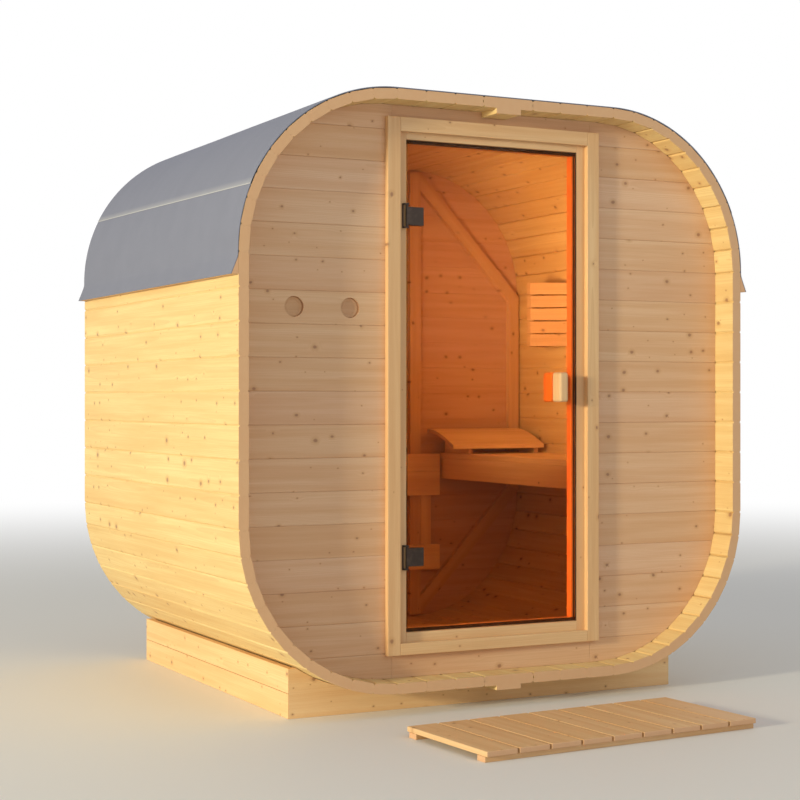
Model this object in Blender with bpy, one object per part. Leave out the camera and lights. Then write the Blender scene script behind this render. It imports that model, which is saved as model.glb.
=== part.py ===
"""Outdoor sauna: a square barrel of wooden staves on a plinth, with a glass door.

Metres, +Z up. X runs across the front, +Y points from the door to the back wall
and z = 0 is the level ground under the plinth. Every fixed piece hangs on the
empty "cabin_origin" at the front rim of the barrel, so the Y values below count
from that rim. The door pieces hang on the empty "door_pivot" on the hinge axis.
"""

import math

import bmesh
import bpy
from mathutils import Matrix, Vector

# Clearances
SEAT_GAP = 0.0003
LEAF_GAP = 0.005

# Staves of the barrel
STAVE_THICKNESS = 0.038
STAVE_PITCH = 0.117
SIDE_STAVES = 8
TOP_STAVES = 3
CORNER_STAVES = 10
CORNER_RADIUS = 0.595
FLANGE_WIDTH = 0.207
WEB_WIDTH = 0.102
RIDGE_WEB_DROP = 0.020
KEEL_WEB_DROP = 0.017
HULL_LENGTH = 1.78
GROOVE_HALF_WIDTH = 0.0025
GROOVE_DEPTH = 0.0025

# Plinth
HULL_CLEARANCE = 0.0805
PLINTH_HALF_WIDTH = 0.808
PLINTH_HEIGHT = 0.175
PLINTH_FRONT = 0.14
PLINTH_BACK_SETBACK = 0.10
PLINTH_END_THICKNESS = 0.038
PLINTH_SIDE_THICKNESS = 0.028

# End walls
WALL_THICKNESS = 0.038
WALL_RECESS = 0.110
WALL_PANEL_JOINT = 1.6075
VENT_RADIUS = 0.036
VENT_HEIGHT = 1.438
VENT_FROM_CENTRE = (-0.80, -0.585)
VENT_RECESS = 0.009

# Doorway and its frame
LEAF_WIDTH = 0.714
DOOR_HEAD_DROP = 0.0445
LEAF_THICKNESS = 0.008
LEAF_BOTTOM = 0.283
LEAF_SETBACK = 0.003
FRAME_FACE = 0.034
HEAD_FACE = 0.025
CASING_WIDTH = 0.051
CASING_PROUD = 0.024
CASING_LAP = 0.027
SILL_FACE = 0.035
SILL_CASING = 0.042
FRAME_DEPTH = 0.050
STOP_LAP = 0.013
SEAL_THICKNESS = 0.003

# Door fittings
HINGE_AXIS_OUT = 0.0125
HINGE_AXIS_SIDE = 0.009
HINGE_FROM_BOTTOM = 0.265
HINGE_FROM_TOP = 0.270
HINGE_PLATE_WIDTH = 0.060
HINGE_PLATE_HEIGHT = 0.066
HINGE_PLATE_THICKNESS = 0.007
HINGE_BACK_PLATE = 0.0045
HINGE_BARREL_RADIUS = 0.0065
HINGE_PIN_RADIUS = 0.0025
BRACKET_HEIGHT = 0.089
BRACKET_WIDTH = 0.017
BRACKET_BAR = 0.004
BRACKET_ARM = 0.005
BRACKET_THICKNESS = 0.005
CLAMP_BOLT_RADIUS = 0.006
HANDLE_WIDTH = 0.038
HANDLE_HEIGHT = 0.111
HANDLE_DEPTH = 0.058
HANDLE_FROM_EDGE = 0.065
HANDLE_LEVEL = 1.1605
HANDLE_ROUNDING = 0.010

# Roof sheet and drip battens
SHEET_THICKNESS = 0.0035
SHEET_LAP_STEP = 0.0015
SHEET_LAP_ANGLE = 22.5
SHEET_LOWER_EDGE = 1.535
DRIP_BATTEN_TOP = 1.593
DRIP_BATTEN_DEPTH = 0.025
DRIP_BATTEN_TIP = 0.0015

# Battens on the back wall
BATTEN_THICKNESS = 0.028
BATTEN_WIDTH = 0.055
MID_BATTEN_OUTER = 0.480
EDGE_BATTEN_OUTER = 1.004
BRACE_TOP = 2.155
BRACE_SHOULDER = 1.600

# Bench, headrest, wall rails and lamp shade
BENCH_FRONT = 0.580
BENCH_TOP = 0.870
BENCH_BOARD_THICKNESS = 0.025
BENCH_BOARDS = 4
BENCH_BOARD_GAP = 0.008
BENCH_CLEAT = 0.045
FASCIA_HEIGHT = 0.093
FASCIA_THICKNESS = 0.028
HEADREST_WIDTH = 0.475
HEADREST_OVERHANG = 0.069
HEADREST_DEPTH = 0.250
HEADREST_FRONT_HEIGHT = 0.041
HEADREST_BACK_HEIGHT = 0.110
HEADREST_BOARD = 0.018
HEADREST_CHEEK = 0.020
RAIL_THICKNESS = 0.028
RAIL_LENGTH = 0.545
RAIL_FROM_BENCH = 0.015
RAIL_SPANS = ((0.337, 0.450), (0.676, 0.7865), (0.787, 0.866))
RAIL_POST_WIDTH = 0.053
RAIL_POST_INSET = 0.032
SHADE_REACH = 0.164
SHADE_LENGTH = 0.260
SHADE_NOSE = 0.030
SHADE_FROM_BACK = 0.654
SHADE_BOTTOM = 1.355
SHADE_SLATS = 5
SHADE_SLAT_HEIGHT = 0.053
SHADE_SLAT_GAP = 0.005
SHADE_BOARD = 0.010

# Duckboard in front of the door
MAT_DISTANCE = 0.530
MAT_DEPTH = 0.478
MAT_CENTRE_X = -0.0236
MAT_TURN = math.radians(3.6)
MAT_SLATS = 9
MAT_SLAT_WIDTH = 0.115
MAT_SLAT_GAP = 0.007
MAT_SLAT_THICKNESS = 0.018
MAT_RUNNER_WIDTH = 0.045
MAT_RUNNER_HEIGHT = 0.018
MAT_RUNNER_INSET = 0.012

# Sizes that follow from those above
ARC_X = FLANGE_WIDTH / 2 + TOP_STAVES * STAVE_PITCH
ARC_Z = SIDE_STAVES * STAVE_PITCH / 2
HALF_WIDTH = ARC_X + CORNER_RADIUS
HALF_HEIGHT = ARC_Z + CORNER_RADIUS
CENTRE_Z = HULL_CLEARANCE + HALF_HEIGHT
TOP_Z = CENTRE_Z + HALF_HEIGHT
INNER_RADIUS = CORNER_RADIUS - STAVE_THICKNESS
INNER_X = HALF_WIDTH - STAVE_THICKNESS
INNER_TOP = TOP_Z - STAVE_THICKNESS
INNER_BOTTOM = HULL_CLEARANCE + STAVE_THICKNESS
WALL_FACE = WALL_RECESS
WALL_INSIDE = WALL_FACE + WALL_THICKNESS
BACK_INSIDE = HULL_LENGTH - WALL_RECESS - WALL_THICKNESS
SHADE_START = HULL_LENGTH - SHADE_FROM_BACK
PLINTH_BACK = HULL_LENGTH - PLINTH_BACK_SETBACK
GLASS_FACE = WALL_FACE + LEAF_SETBACK
GLASS_BACK = GLASS_FACE + LEAF_THICKNESS
LEAF_HALF = LEAF_WIDTH / 2
LEAF_TOP = INNER_TOP - DOOR_HEAD_DROP - CASING_WIDTH - HEAD_FACE - LEAF_GAP
HINGE_HEIGHTS = (LEAF_BOTTOM + HINGE_FROM_BOTTOM, LEAF_TOP - HINGE_FROM_TOP)
REBATE_HALF = LEAF_HALF + LEAF_GAP
REBATE_TOP = LEAF_TOP + LEAF_GAP
SILL_TOP = LEAF_BOTTOM - LEAF_GAP
CASING_INNER = REBATE_HALF + FRAME_FACE
CASING_OUTER = CASING_INNER + CASING_WIDTH
CASING_HEAD_INNER = REBATE_TOP + HEAD_FACE
CASING_HEAD_OUTER = CASING_HEAD_INNER + CASING_WIDTH
CASING_SILL_TOP = SILL_TOP - SILL_FACE
CASING_BOTTOM = CASING_SILL_TOP - SILL_CASING
FRAME_BACK = WALL_FACE + FRAME_DEPTH
CASING_FACE = WALL_FACE - CASING_PROUD
CUT_HALF = CASING_OUTER - CASING_LAP
CUT_TOP = CASING_HEAD_OUTER - CASING_LAP
CUT_BOTTOM = CASING_BOTTOM + CASING_LAP
SEAL_FACE = GLASS_BACK + LEAF_GAP
STOP_FACE = SEAL_FACE + SEAL_THICKNESS + SEAT_GAP
HINGE_X = -(LEAF_HALF + HINGE_AXIS_SIDE)
HINGE_Y = WALL_FACE - HINGE_AXIS_OUT
MAT_WIDTH = MAT_SLATS * MAT_SLAT_WIDTH + (MAT_SLATS - 1) * MAT_SLAT_GAP
MAT_REACH = MAT_DISTANCE + (MAT_WIDTH * math.sin(MAT_TURN) + MAT_DEPTH * math.cos(MAT_TURN)) / 2
FRONT_Y = (MAT_REACH - HULL_LENGTH) / 2

AXES = {
    "X": lambda a, b, along: Vector((along, a, b)),
    "Y": lambda a, b, along: Vector((a, along, b)),
    "Z": lambda a, b, along: Vector((a, b, along)),
}


def make_material(name, colour, roughness, metallic=0.0, alpha=1.0):
    """Makes one Principled material."""
    material = bpy.data.materials.new(name)
    material.use_nodes = True
    shader = material.node_tree.nodes["Principled BSDF"]
    shader.inputs["Base Color"].default_value = (*colour, 1.0)
    shader.inputs["Roughness"].default_value = roughness
    shader.inputs["Metallic"].default_value = metallic
    shader.inputs["Alpha"].default_value = alpha
    material.diffuse_color = (*colour, alpha)
    return material


def make_empty(name, location, parent=None):
    """Makes an empty that carries other pieces."""
    empty = bpy.data.objects.new(name, None)
    empty.location = location
    empty.parent = parent
    bpy.context.scene.collection.objects.link(empty)
    return empty


def make_object(name, mesh, location, parent, look, smooth=None):
    """Links a mesh as an object with its own material."""
    colour, roughness, metallic, alpha = look
    mesh.materials.append(make_material(name, colour, roughness, metallic, alpha))
    if smooth is not None:
        mesh.shade_smooth()
        mesh.set_sharp_from_angle(angle=math.radians(smooth))
    made = bpy.data.objects.new(name, mesh)
    made.location = location
    made.parent = parent
    bpy.context.scene.collection.objects.link(made)
    return made


def extruded_mesh(name, outlines, axis, length):
    """Extrudes closed outlines along an axis into one mesh."""
    place = AXES[axis]
    shape = bmesh.new()
    for outline in outlines:
        corners = [shape.verts.new(place(a, b, 0.0)) for a, b in outline]
        base = shape.faces.new(corners)
        grown = bmesh.ops.extrude_face_region(shape, geom=[base])
        moved = [item for item in grown["geom"] if isinstance(item, bmesh.types.BMVert)]
        bmesh.ops.translate(shape, verts=moved, vec=place(0.0, 0.0, length))
    bmesh.ops.recalc_face_normals(shape, faces=shape.faces)
    mesh = bpy.data.meshes.new(name)
    shape.to_mesh(mesh)
    shape.free()
    return mesh


def extruded(name, outline, axis, start, end, look, parent, smooth=None):
    """Makes an object by extruding one outline from start to end."""
    mesh = extruded_mesh(name, [outline], axis, end - start)
    return make_object(name, mesh, AXES[axis](0.0, 0.0, start), parent, look, smooth)


def guide(name, outlines, axis, start, end, parent):
    """Makes a hidden shape for a Boolean to cut or join with."""
    mesh = extruded_mesh(name, outlines, axis, end - start)
    made = bpy.data.objects.new(name, mesh)
    made.location = AXES[axis](0.0, 0.0, start)
    made.parent = parent
    made.hide_render = True
    made.display_type = "WIRE"
    bpy.context.scene.collection.objects.link(made)
    return made


def boolean(target, other, operation):
    """Adds an exact Boolean modifier to an object."""
    modifier = target.modifiers.new(other.name, "BOOLEAN")
    modifier.operation = operation
    modifier.object = other
    modifier.solver = "EXACT"
    return target


def turned(target, angle, centre_x, centre_y):
    """Turns an object's mesh about an upright line, without turning the object."""
    there = Matrix.Translation(Vector((centre_x, centre_y, 0.0)) - target.location)
    target.data.transform(there @ Matrix.Rotation(angle, 4, "Z") @ there.inverted())
    return target


def rounded(target, width, segments=3):
    """Adds a Bevel modifier that rounds the edges of an object."""
    modifier = target.modifiers.new("rounding", "BEVEL")
    modifier.width = width
    modifier.segments = segments
    modifier.limit_method = "ANGLE"
    return target


def rectangle(low_a, low_b, high_a, high_b):
    """Gives the corners of an upright rectangle."""
    return [(low_a, low_b), (high_a, low_b), (high_a, high_b), (low_a, high_b)]


def stepped(front, back, low, high, tongue_low, tongue_high, reach=0.006, inset=0.002):
    """Gives a Y-Z rectangle with a tongue that reaches forward into the piece before it."""
    near = front - reach
    return [
        (front, low), (back, low), (back, high), (front, high), (front, tongue_high - inset),
        (near, tongue_high - inset), (near, tongue_low + inset), (front, tongue_low + inset),
    ]


def circle(centre_a, centre_b, radius, sides=24):
    """Gives points round a circle."""
    turns = [math.tau * (step + 0.5) / sides for step in range(sides)]
    return [(centre_a + radius * math.cos(turn), centre_b + radius * math.sin(turn)) for turn in turns]


def mirrored(outline):
    """Mirrors an outline in the plane x = 0."""
    return [(-a, b) for a, b in reversed(outline)]


def arc_points(centre, radius, first, last, steps):
    """Gives points along an arc, by angles in degrees from +X towards +Z."""
    turns = [math.radians(first + (last - first) * step / steps) for step in range(steps + 1)]
    return [
        (centre[0] + radius * math.cos(turn), centre[1] + radius * math.sin(turn)) for turn in turns
    ]


def straight_stations(outer_start, inner_start, step, count):
    """Gives the outer and inner points of each joint along a flat run of staves."""
    return [
        (Vector(outer_start) + Vector(step) * index, Vector(inner_start) + Vector(step) * index)
        for index in range(count + 1)
    ]


def corner_stations(centre, first_angle):
    """Gives the outer and inner points of each joint round a quarter corner."""
    outer = arc_points(centre, CORNER_RADIUS, first_angle, first_angle + 90.0, CORNER_STAVES)
    inner = arc_points(centre, INNER_RADIUS, first_angle, first_angle + 90.0, CORNER_STAVES)
    return [(Vector(out), Vector(into)) for out, into in zip(outer, inner)]


def grooved_line(points, inward):
    """Follows joints along one face of the staves, with a V groove at each joint."""
    line = []
    last = len(points) - 1
    for index, point in enumerate(points):
        if index > 0:
            back = (points[index - 1] - point).normalized()
            line.append(point + back * GROOVE_HALF_WIDTH)
        line.append(point + inward[index] * GROOVE_DEPTH)
        if index < last:
            ahead = (points[index + 1] - point).normalized()
            line.append(point + ahead * GROOVE_HALF_WIDTH)
    return line


def stave_outline(stations):
    """Gives the outline of a run of staves, with grooved joints inside and out."""
    outer = [pair[0].copy() for pair in stations]
    inner = [pair[1].copy() for pair in stations]
    for end, near in ((0, 1), (-1, -2)):
        across = (outer[end] - inner[end]).normalized()
        along = Vector((-across.y, across.x))
        if along.dot(outer[near] - outer[end]) < 0.0:
            along = -along
        outer[end] += along * SEAT_GAP / 2
        inner[end] += along * SEAT_GAP / 2
    inward = [(into - out).normalized() for out, into in zip(outer, inner)]
    outward = [-direction for direction in inward]
    line = grooved_line(outer, inward) + list(reversed(grooved_line(inner, outward)))
    return [(point.x, point.y) for point in line]


def inner_reach(x, clearance):
    """Gives how far the barrel is open inside at x, above and below its middle."""
    radius = INNER_RADIUS - clearance
    across = max(abs(x) - ARC_X, 0.0)
    return ARC_Z + math.sqrt(max(radius**2 - across**2, 0.0))


def inner_half_outline(near_x, clearance):
    """Gives the inside outline of the barrel for x under -near_x, from top to bottom."""
    radius = INNER_RADIUS - clearance
    upper = arc_points((-ARC_X, CENTRE_Z + ARC_Z), radius, 90.0, 180.0, CORNER_STAVES)
    lower = arc_points((-ARC_X, CENTRE_Z - ARC_Z), radius, 180.0, 270.0, CORNER_STAVES)
    reach = inner_reach(near_x, clearance)
    arcs = [point for point in upper + lower if -point[0] > near_x + SEAT_GAP]
    return [(-near_x, CENTRE_Z + reach), *arcs, (-near_x, CENTRE_Z - reach)]


def inner_crown(half_width, clearance):
    """Gives the left half of the inside outline of the barrel's top, for x within half_width."""
    radius = INNER_RADIUS - clearance
    arc = arc_points((-ARC_X, CENTRE_Z + ARC_Z), radius, 180.0, 90.0, CORNER_STAVES)
    edge = (-half_width, CENTRE_Z + inner_reach(half_width, clearance))
    return [edge] + [point for point in arc if -point[0] < half_width - SEAT_GAP]


def boarded_profile(front, back, low, high):
    """Gives the Y-Z profile of horizontal boards, with grooved joints on both faces."""
    first = math.ceil((low - CENTRE_Z + GROOVE_HALF_WIDTH) / STAVE_PITCH)
    last = math.floor((high - CENTRE_Z - GROOVE_HALF_WIDTH) / STAVE_PITCH)
    joints = [CENTRE_Z + index * STAVE_PITCH for index in range(first, last + 1)]
    rising = [(front, low)]
    falling = [(back, low)]
    for joint in joints:
        for line, face, depth in ((rising, front, GROOVE_DEPTH), (falling, back, -GROOVE_DEPTH)):
            line.append((face, joint - GROOVE_HALF_WIDTH))
            line.append((face + depth, joint))
            line.append((face, joint + GROOVE_HALF_WIDTH))
    rising.append((front, high))
    falling.append((back, high))
    return rising + list(reversed(falling))


def boarded_wall(name, outline, front, parent, look):
    """Makes a wall of horizontal boards, trimmed to an X-Z outline."""
    lows = [point[1] for point in outline]
    sides = [point[0] for point in outline]
    profile = boarded_profile(front, front + WALL_THICKNESS, min(lows) - 0.01, max(lows) + 0.01)
    wall = extruded(name, profile, "X", min(sides) - 0.01, max(sides) + 0.01, look, parent)
    shape = guide(
        name + "_outline", [outline], "Y", front - 0.02, front + WALL_THICKNESS + 0.02, parent
    )
    return boolean(wall, shape, "INTERSECT")


def build_hull(cabin, look, end_look):
    """Builds the staves of the sides, corners, top and bottom, the ridge and the keel."""
    top_run = TOP_STAVES * STAVE_PITCH
    side = straight_stations(
        (-HALF_WIDTH, CENTRE_Z - ARC_Z), (-INNER_X, CENTRE_Z - ARC_Z), (0.0, STAVE_PITCH), SIDE_STAVES
    )
    top = straight_stations(
        (-ARC_X, TOP_Z), (-ARC_X, INNER_TOP), (STAVE_PITCH, 0.0), TOP_STAVES
    )
    bottom = straight_stations(
        (-ARC_X, HULL_CLEARANCE), (-ARC_X, INNER_BOTTOM), (STAVE_PITCH, 0.0), TOP_STAVES
    )
    upper = corner_stations((-ARC_X, CENTRE_Z + ARC_Z), 90.0)
    lower = corner_stations((-ARC_X, CENTRE_Z - ARC_Z), 180.0)
    runs = {"side": side, "top": top, "floor": bottom, "upper_corner": upper, "lower_corner": lower}
    for name, stations in runs.items():
        outline = stave_outline(stations)
        extruded("hull_left_" + name, outline, "Y", 0.0, HULL_LENGTH, look, cabin)
        extruded("hull_right_" + name, mirrored(outline), "Y", 0.0, HULL_LENGTH, look, cabin)
    flange = FLANGE_WIDTH / 2 - SEAT_GAP / 2
    web = WEB_WIDTH / 2
    nick = GROOVE_DEPTH
    ridge = [
        (-flange, TOP_Z - nick), (-flange + nick, TOP_Z), (flange - nick, TOP_Z),
        (flange, TOP_Z - nick), (flange, INNER_TOP + nick), (flange - nick, INNER_TOP),
        (web, INNER_TOP), (web, INNER_TOP - RIDGE_WEB_DROP),
        (-web, INNER_TOP - RIDGE_WEB_DROP), (-web, INNER_TOP),
        (-flange + nick, INNER_TOP), (-flange, INNER_TOP + nick),
    ]
    keel_bottom = HULL_CLEARANCE - KEEL_WEB_DROP
    keel = [
        (-flange, INNER_BOTTOM - nick), (-flange + nick, INNER_BOTTOM), (flange - nick, INNER_BOTTOM),
        (flange, INNER_BOTTOM - nick), (flange, HULL_CLEARANCE + nick), (flange - nick, HULL_CLEARANCE),
        (web, HULL_CLEARANCE), (web, keel_bottom), (-web, keel_bottom), (-web, HULL_CLEARANCE),
        (-flange + nick, HULL_CLEARANCE), (-flange, HULL_CLEARANCE + nick),
    ]
    extruded("hull_ridge", ridge, "Y", 0.0, HULL_LENGTH, end_look, cabin)
    extruded("hull_keel", keel, "Y", 0.0, HULL_LENGTH, end_look, cabin)


def cradle_height(x):
    """Gives the height of the round underside of the barrel at x, or none past its arc."""
    radius = CORNER_RADIUS + SEAT_GAP
    across = abs(x) - ARC_X
    return CENTRE_Z - ARC_Z - math.sqrt(max(radius**2 - across**2, 0.0))


def build_plinth(cabin, look):
    """Builds the two cradle boards and the two stacked sides between them."""
    radius = CORNER_RADIUS + SEAT_GAP
    outer = PLINTH_HALF_WIDTH
    arc_drop = CENTRE_Z - ARC_Z - PLINTH_HEIGHT
    crown = ARC_X + math.sqrt(max(radius**2 - arc_drop**2, 0.0))
    edge = min(crown, outer)
    horn = min(PLINTH_HEIGHT, cradle_height(edge))
    cradle = arc_points((-ARC_X, CENTRE_Z - ARC_Z), radius, 270.0, 180.0, CORNER_STAVES * 4)
    arc = [point for point in cradle if point[1] < horn - SEAT_GAP and -point[0] < edge - SEAT_GAP]
    seat = HULL_CLEARANCE - SEAT_GAP
    slot = WEB_WIDTH / 2 + SEAT_GAP
    slot_floor = HULL_CLEARANCE - KEEL_WEB_DROP - SEAT_GAP
    left = [(-slot, slot_floor), (-slot, seat), *arc, (-edge, horn)]
    if outer - edge > SEAT_GAP:
        left.append((-outer, horn))
    left.append((-outer, 0.0))
    board = left + mirrored(left)
    front_end = PLINTH_FRONT + PLINTH_END_THICKNESS
    back_start = PLINTH_BACK - PLINTH_END_THICKNESS
    extruded("plinth_front", board, "Y", PLINTH_FRONT, front_end, look, cabin)
    extruded("plinth_back", board, "Y", back_start, PLINTH_BACK, look, cabin)
    inner = outer - PLINTH_SIDE_THICKNESS
    top = min(PLINTH_HEIGHT, cradle_height(inner))
    seam = top / 2
    nick = GROOVE_HALF_WIDTH
    side = [
        (-outer, 0.0), (-inner, 0.0),
        (-inner, seam - nick), (-inner - GROOVE_DEPTH, seam), (-inner, seam + nick),
        (-inner, top), (-outer, top),
        (-outer, seam + nick), (-outer + GROOVE_DEPTH, seam), (-outer, seam - nick),
    ]
    ends = (front_end + SEAT_GAP, back_start - SEAT_GAP)
    extruded("plinth_left", side, "Y", *ends, look, cabin)
    extruded("plinth_right", mirrored(side), "Y", *ends, look, cabin)


def build_end_walls(cabin, look):
    """Builds the front wall round the doorway, its vents, and the back wall in two panels."""
    half = inner_half_outline(CUT_HALF, SEAT_GAP)
    left_wall = boarded_wall("front_wall_left", half, WALL_FACE, cabin, look)
    boarded_wall("front_wall_right", mirrored(half), WALL_FACE, cabin, look)
    between = CUT_HALF - SEAT_GAP
    web = WEB_WIDTH / 2 + SEAT_GAP
    top = INNER_TOP - SEAT_GAP
    web_bottom = INNER_TOP - RIDGE_WEB_DROP - SEAT_GAP
    crown = inner_crown(between, SEAT_GAP)
    over = [(-between, CUT_TOP), *crown, (-web, top), (-web, web_bottom)]
    boarded_wall("front_wall_over_door", over + mirrored(over), WALL_FACE, cabin, look)
    under = [(-between, CUT_BOTTOM), *[(a, 2 * CENTRE_Z - b) for a, b in crown]]
    boarded_wall("front_wall_under_door", under + mirrored(under), WALL_FACE, cabin, look)
    holes = [circle(x, VENT_HEIGHT, VENT_RADIUS) for x in VENT_FROM_CENTRE]
    cut = guide("vent_holes", holes, "Y", WALL_FACE - 0.02, WALL_INSIDE + 0.02, cabin)
    boolean(left_wall, cut, "DIFFERENCE")
    for name, x in zip(("vent_plug_outer", "vent_plug_inner"), VENT_FROM_CENTRE):
        disc = circle(x, VENT_HEIGHT, VENT_RADIUS - SEAT_GAP)
        face = WALL_FACE + VENT_RECESS
        plug = extruded(name, disc, "Y", face, WALL_INSIDE, look, cabin, smooth=40.0)
        dish = guide(
            name + "_dish", [circle(x, VENT_HEIGHT, VENT_RADIUS * 0.72)], "Y", face - 0.01, face + 0.004, cabin
        )
        boolean(plug, dish, "DIFFERENCE")
    outline = inner_half_outline(web, SEAT_GAP)
    joint = WALL_PANEL_JOINT
    upper_left = [point for point in outline if point[1] > joint + STAVE_PITCH * 0.01]
    lower_left = [point for point in outline if point[1] < joint - STAVE_PITCH * 0.01]
    side = -INNER_X + SEAT_GAP
    upper = [(-web, web_bottom), *upper_left, (side, joint + SEAT_GAP / 2)]
    lower = [(side, joint - SEAT_GAP / 2), *lower_left]
    boarded_wall("back_wall_upper", upper + mirrored(upper), BACK_INSIDE, cabin, look)
    boarded_wall("back_wall_lower", lower + mirrored(lower), BACK_INSIDE, cabin, look)


def build_back_battens(cabin, look):
    """Builds the batten frame on each half of the back wall, with its two slanted braces."""
    start = BACK_INSIDE - SEAT_GAP - BATTEN_THICKNESS
    end = BACK_INSIDE - SEAT_GAP
    inner = MID_BATTEN_OUTER - BATTEN_WIDTH
    foot = 2 * CENTRE_Z - BRACE_TOP
    low_shoulder = 2 * CENTRE_Z - BRACE_SHOULDER
    outer_line = [
        (inner, foot), (MID_BATTEN_OUTER, foot), (EDGE_BATTEN_OUTER, low_shoulder),
        (EDGE_BATTEN_OUTER, BRACE_SHOULDER), (MID_BATTEN_OUTER, BRACE_TOP), (inner, BRACE_TOP),
    ]
    slope = (BRACE_TOP - BRACE_SHOULDER) / (EDGE_BATTEN_OUTER - MID_BATTEN_OUTER)
    drop = BATTEN_WIDTH * math.hypot(1.0, slope)
    edge_inner = EDGE_BATTEN_OUTER - BATTEN_WIDTH
    shoulder = BRACE_SHOULDER + slope * BATTEN_WIDTH - drop
    window = [
        (MID_BATTEN_OUTER, foot + drop), (edge_inner, 2 * CENTRE_Z - shoulder),
        (edge_inner, shoulder), (MID_BATTEN_OUTER, BRACE_TOP - drop),
    ]
    for name, flip in (("back_battens_right", False), ("back_battens_left", True)):
        line = mirrored(outer_line) if flip else outer_line
        hole = mirrored(window) if flip else window
        frame = extruded(name, line, "Y", start, end, look, cabin)
        boolean(frame, guide(name + "_window", [hole], "Y", start - 0.01, end + 0.01, cabin), "DIFFERENCE")


def build_door_frame(cabin, look, seal_look):
    """Builds the jambs, head and sill with their casings and stops, and the seal."""
    wall_front = WALL_FACE - SEAT_GAP
    jamb_side = CUT_HALF - SEAT_GAP
    stop = REBATE_HALF - STOP_LAP
    jamb = [
        (-CASING_OUTER, CASING_FACE), (-CASING_INNER, CASING_FACE), (-CASING_INNER, WALL_FACE),
        (-REBATE_HALF, WALL_FACE), (-REBATE_HALF, STOP_FACE), (-stop, STOP_FACE),
        (-stop, FRAME_BACK), (-jamb_side, FRAME_BACK), (-jamb_side, wall_front),
        (-CASING_OUTER, wall_front),
    ]
    ends = (CASING_BOTTOM, CASING_HEAD_OUTER)
    beside = [
        rectangle(-CASING_OUTER - 0.01, CASING_BOTTOM - 0.01, -stop + 0.01, CUT_BOTTOM + SEAT_GAP),
        rectangle(-CASING_OUTER - 0.01, CUT_TOP - SEAT_GAP, -stop + 0.01, CASING_HEAD_OUTER + 0.01),
    ]
    behind = (wall_front, FRAME_BACK + 0.01)
    left_jamb = extruded("door_jamb_left", jamb, "Z", *ends, look, cabin)
    boolean(left_jamb, guide("left_jamb_ends", beside, "Y", *behind, cabin), "DIFFERENCE")
    right_jamb = extruded("door_jamb_right", mirrored(jamb), "Z", *ends, look, cabin)
    flipped = [mirrored(outline) for outline in beside]
    boolean(right_jamb, guide("right_jamb_ends", flipped, "Y", *behind, cabin), "DIFFERENCE")
    half = stop - SEAT_GAP
    stop_half = REBATE_HALF - SEAT_GAP
    casing_half = CASING_INNER - SEAT_GAP
    top = CUT_TOP - SEAT_GAP
    foot = CUT_BOTTOM + SEAT_GAP
    stop_front = STOP_FACE - SEAT_GAP
    board = rectangle(CASING_FACE, CASING_HEAD_INNER, wall_front, CASING_HEAD_OUTER)
    head = extruded("door_head", board, "X", -casing_half, casing_half, look, cabin)
    body = stepped(WALL_FACE, stop_front, REBATE_TOP, top, CASING_HEAD_INNER, top)
    boolean(head, guide("door_head_body", [body], "X", -stop_half, stop_half, cabin), "UNION")
    lip = stepped(STOP_FACE, FRAME_BACK, REBATE_TOP - STOP_LAP, top, REBATE_TOP, top)
    boolean(head, guide("door_head_stop", [lip], "X", -half, half, cabin), "UNION")
    board = rectangle(CASING_FACE, CASING_BOTTOM, wall_front, CASING_SILL_TOP)
    sill = extruded("door_sill", board, "X", -casing_half, casing_half, look, cabin)
    body = stepped(WALL_FACE, stop_front, foot, SILL_TOP, foot, CASING_SILL_TOP)
    boolean(sill, guide("door_sill_body", [body], "X", -stop_half, stop_half, cabin), "UNION")
    lip = stepped(STOP_FACE, FRAME_BACK, foot, SILL_TOP + STOP_LAP, foot, SILL_TOP)
    boolean(sill, guide("door_sill_stop", [lip], "X", -half, half, cabin), "UNION")
    outer = rectangle(-stop_half, SILL_TOP + SEAT_GAP, stop_half, REBATE_TOP - SEAT_GAP)
    hole = rectangle(-half, SILL_TOP + STOP_LAP, half, REBATE_TOP - STOP_LAP)
    seal = extruded("door_seal", outer, "Y", SEAL_FACE, SEAL_FACE + SEAL_THICKNESS, seal_look, cabin)
    boolean(seal, guide("door_seal_hole", [hole], "Y", SEAL_FACE - 0.01, STOP_FACE + 0.01, cabin), "DIFFERENCE")


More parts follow.
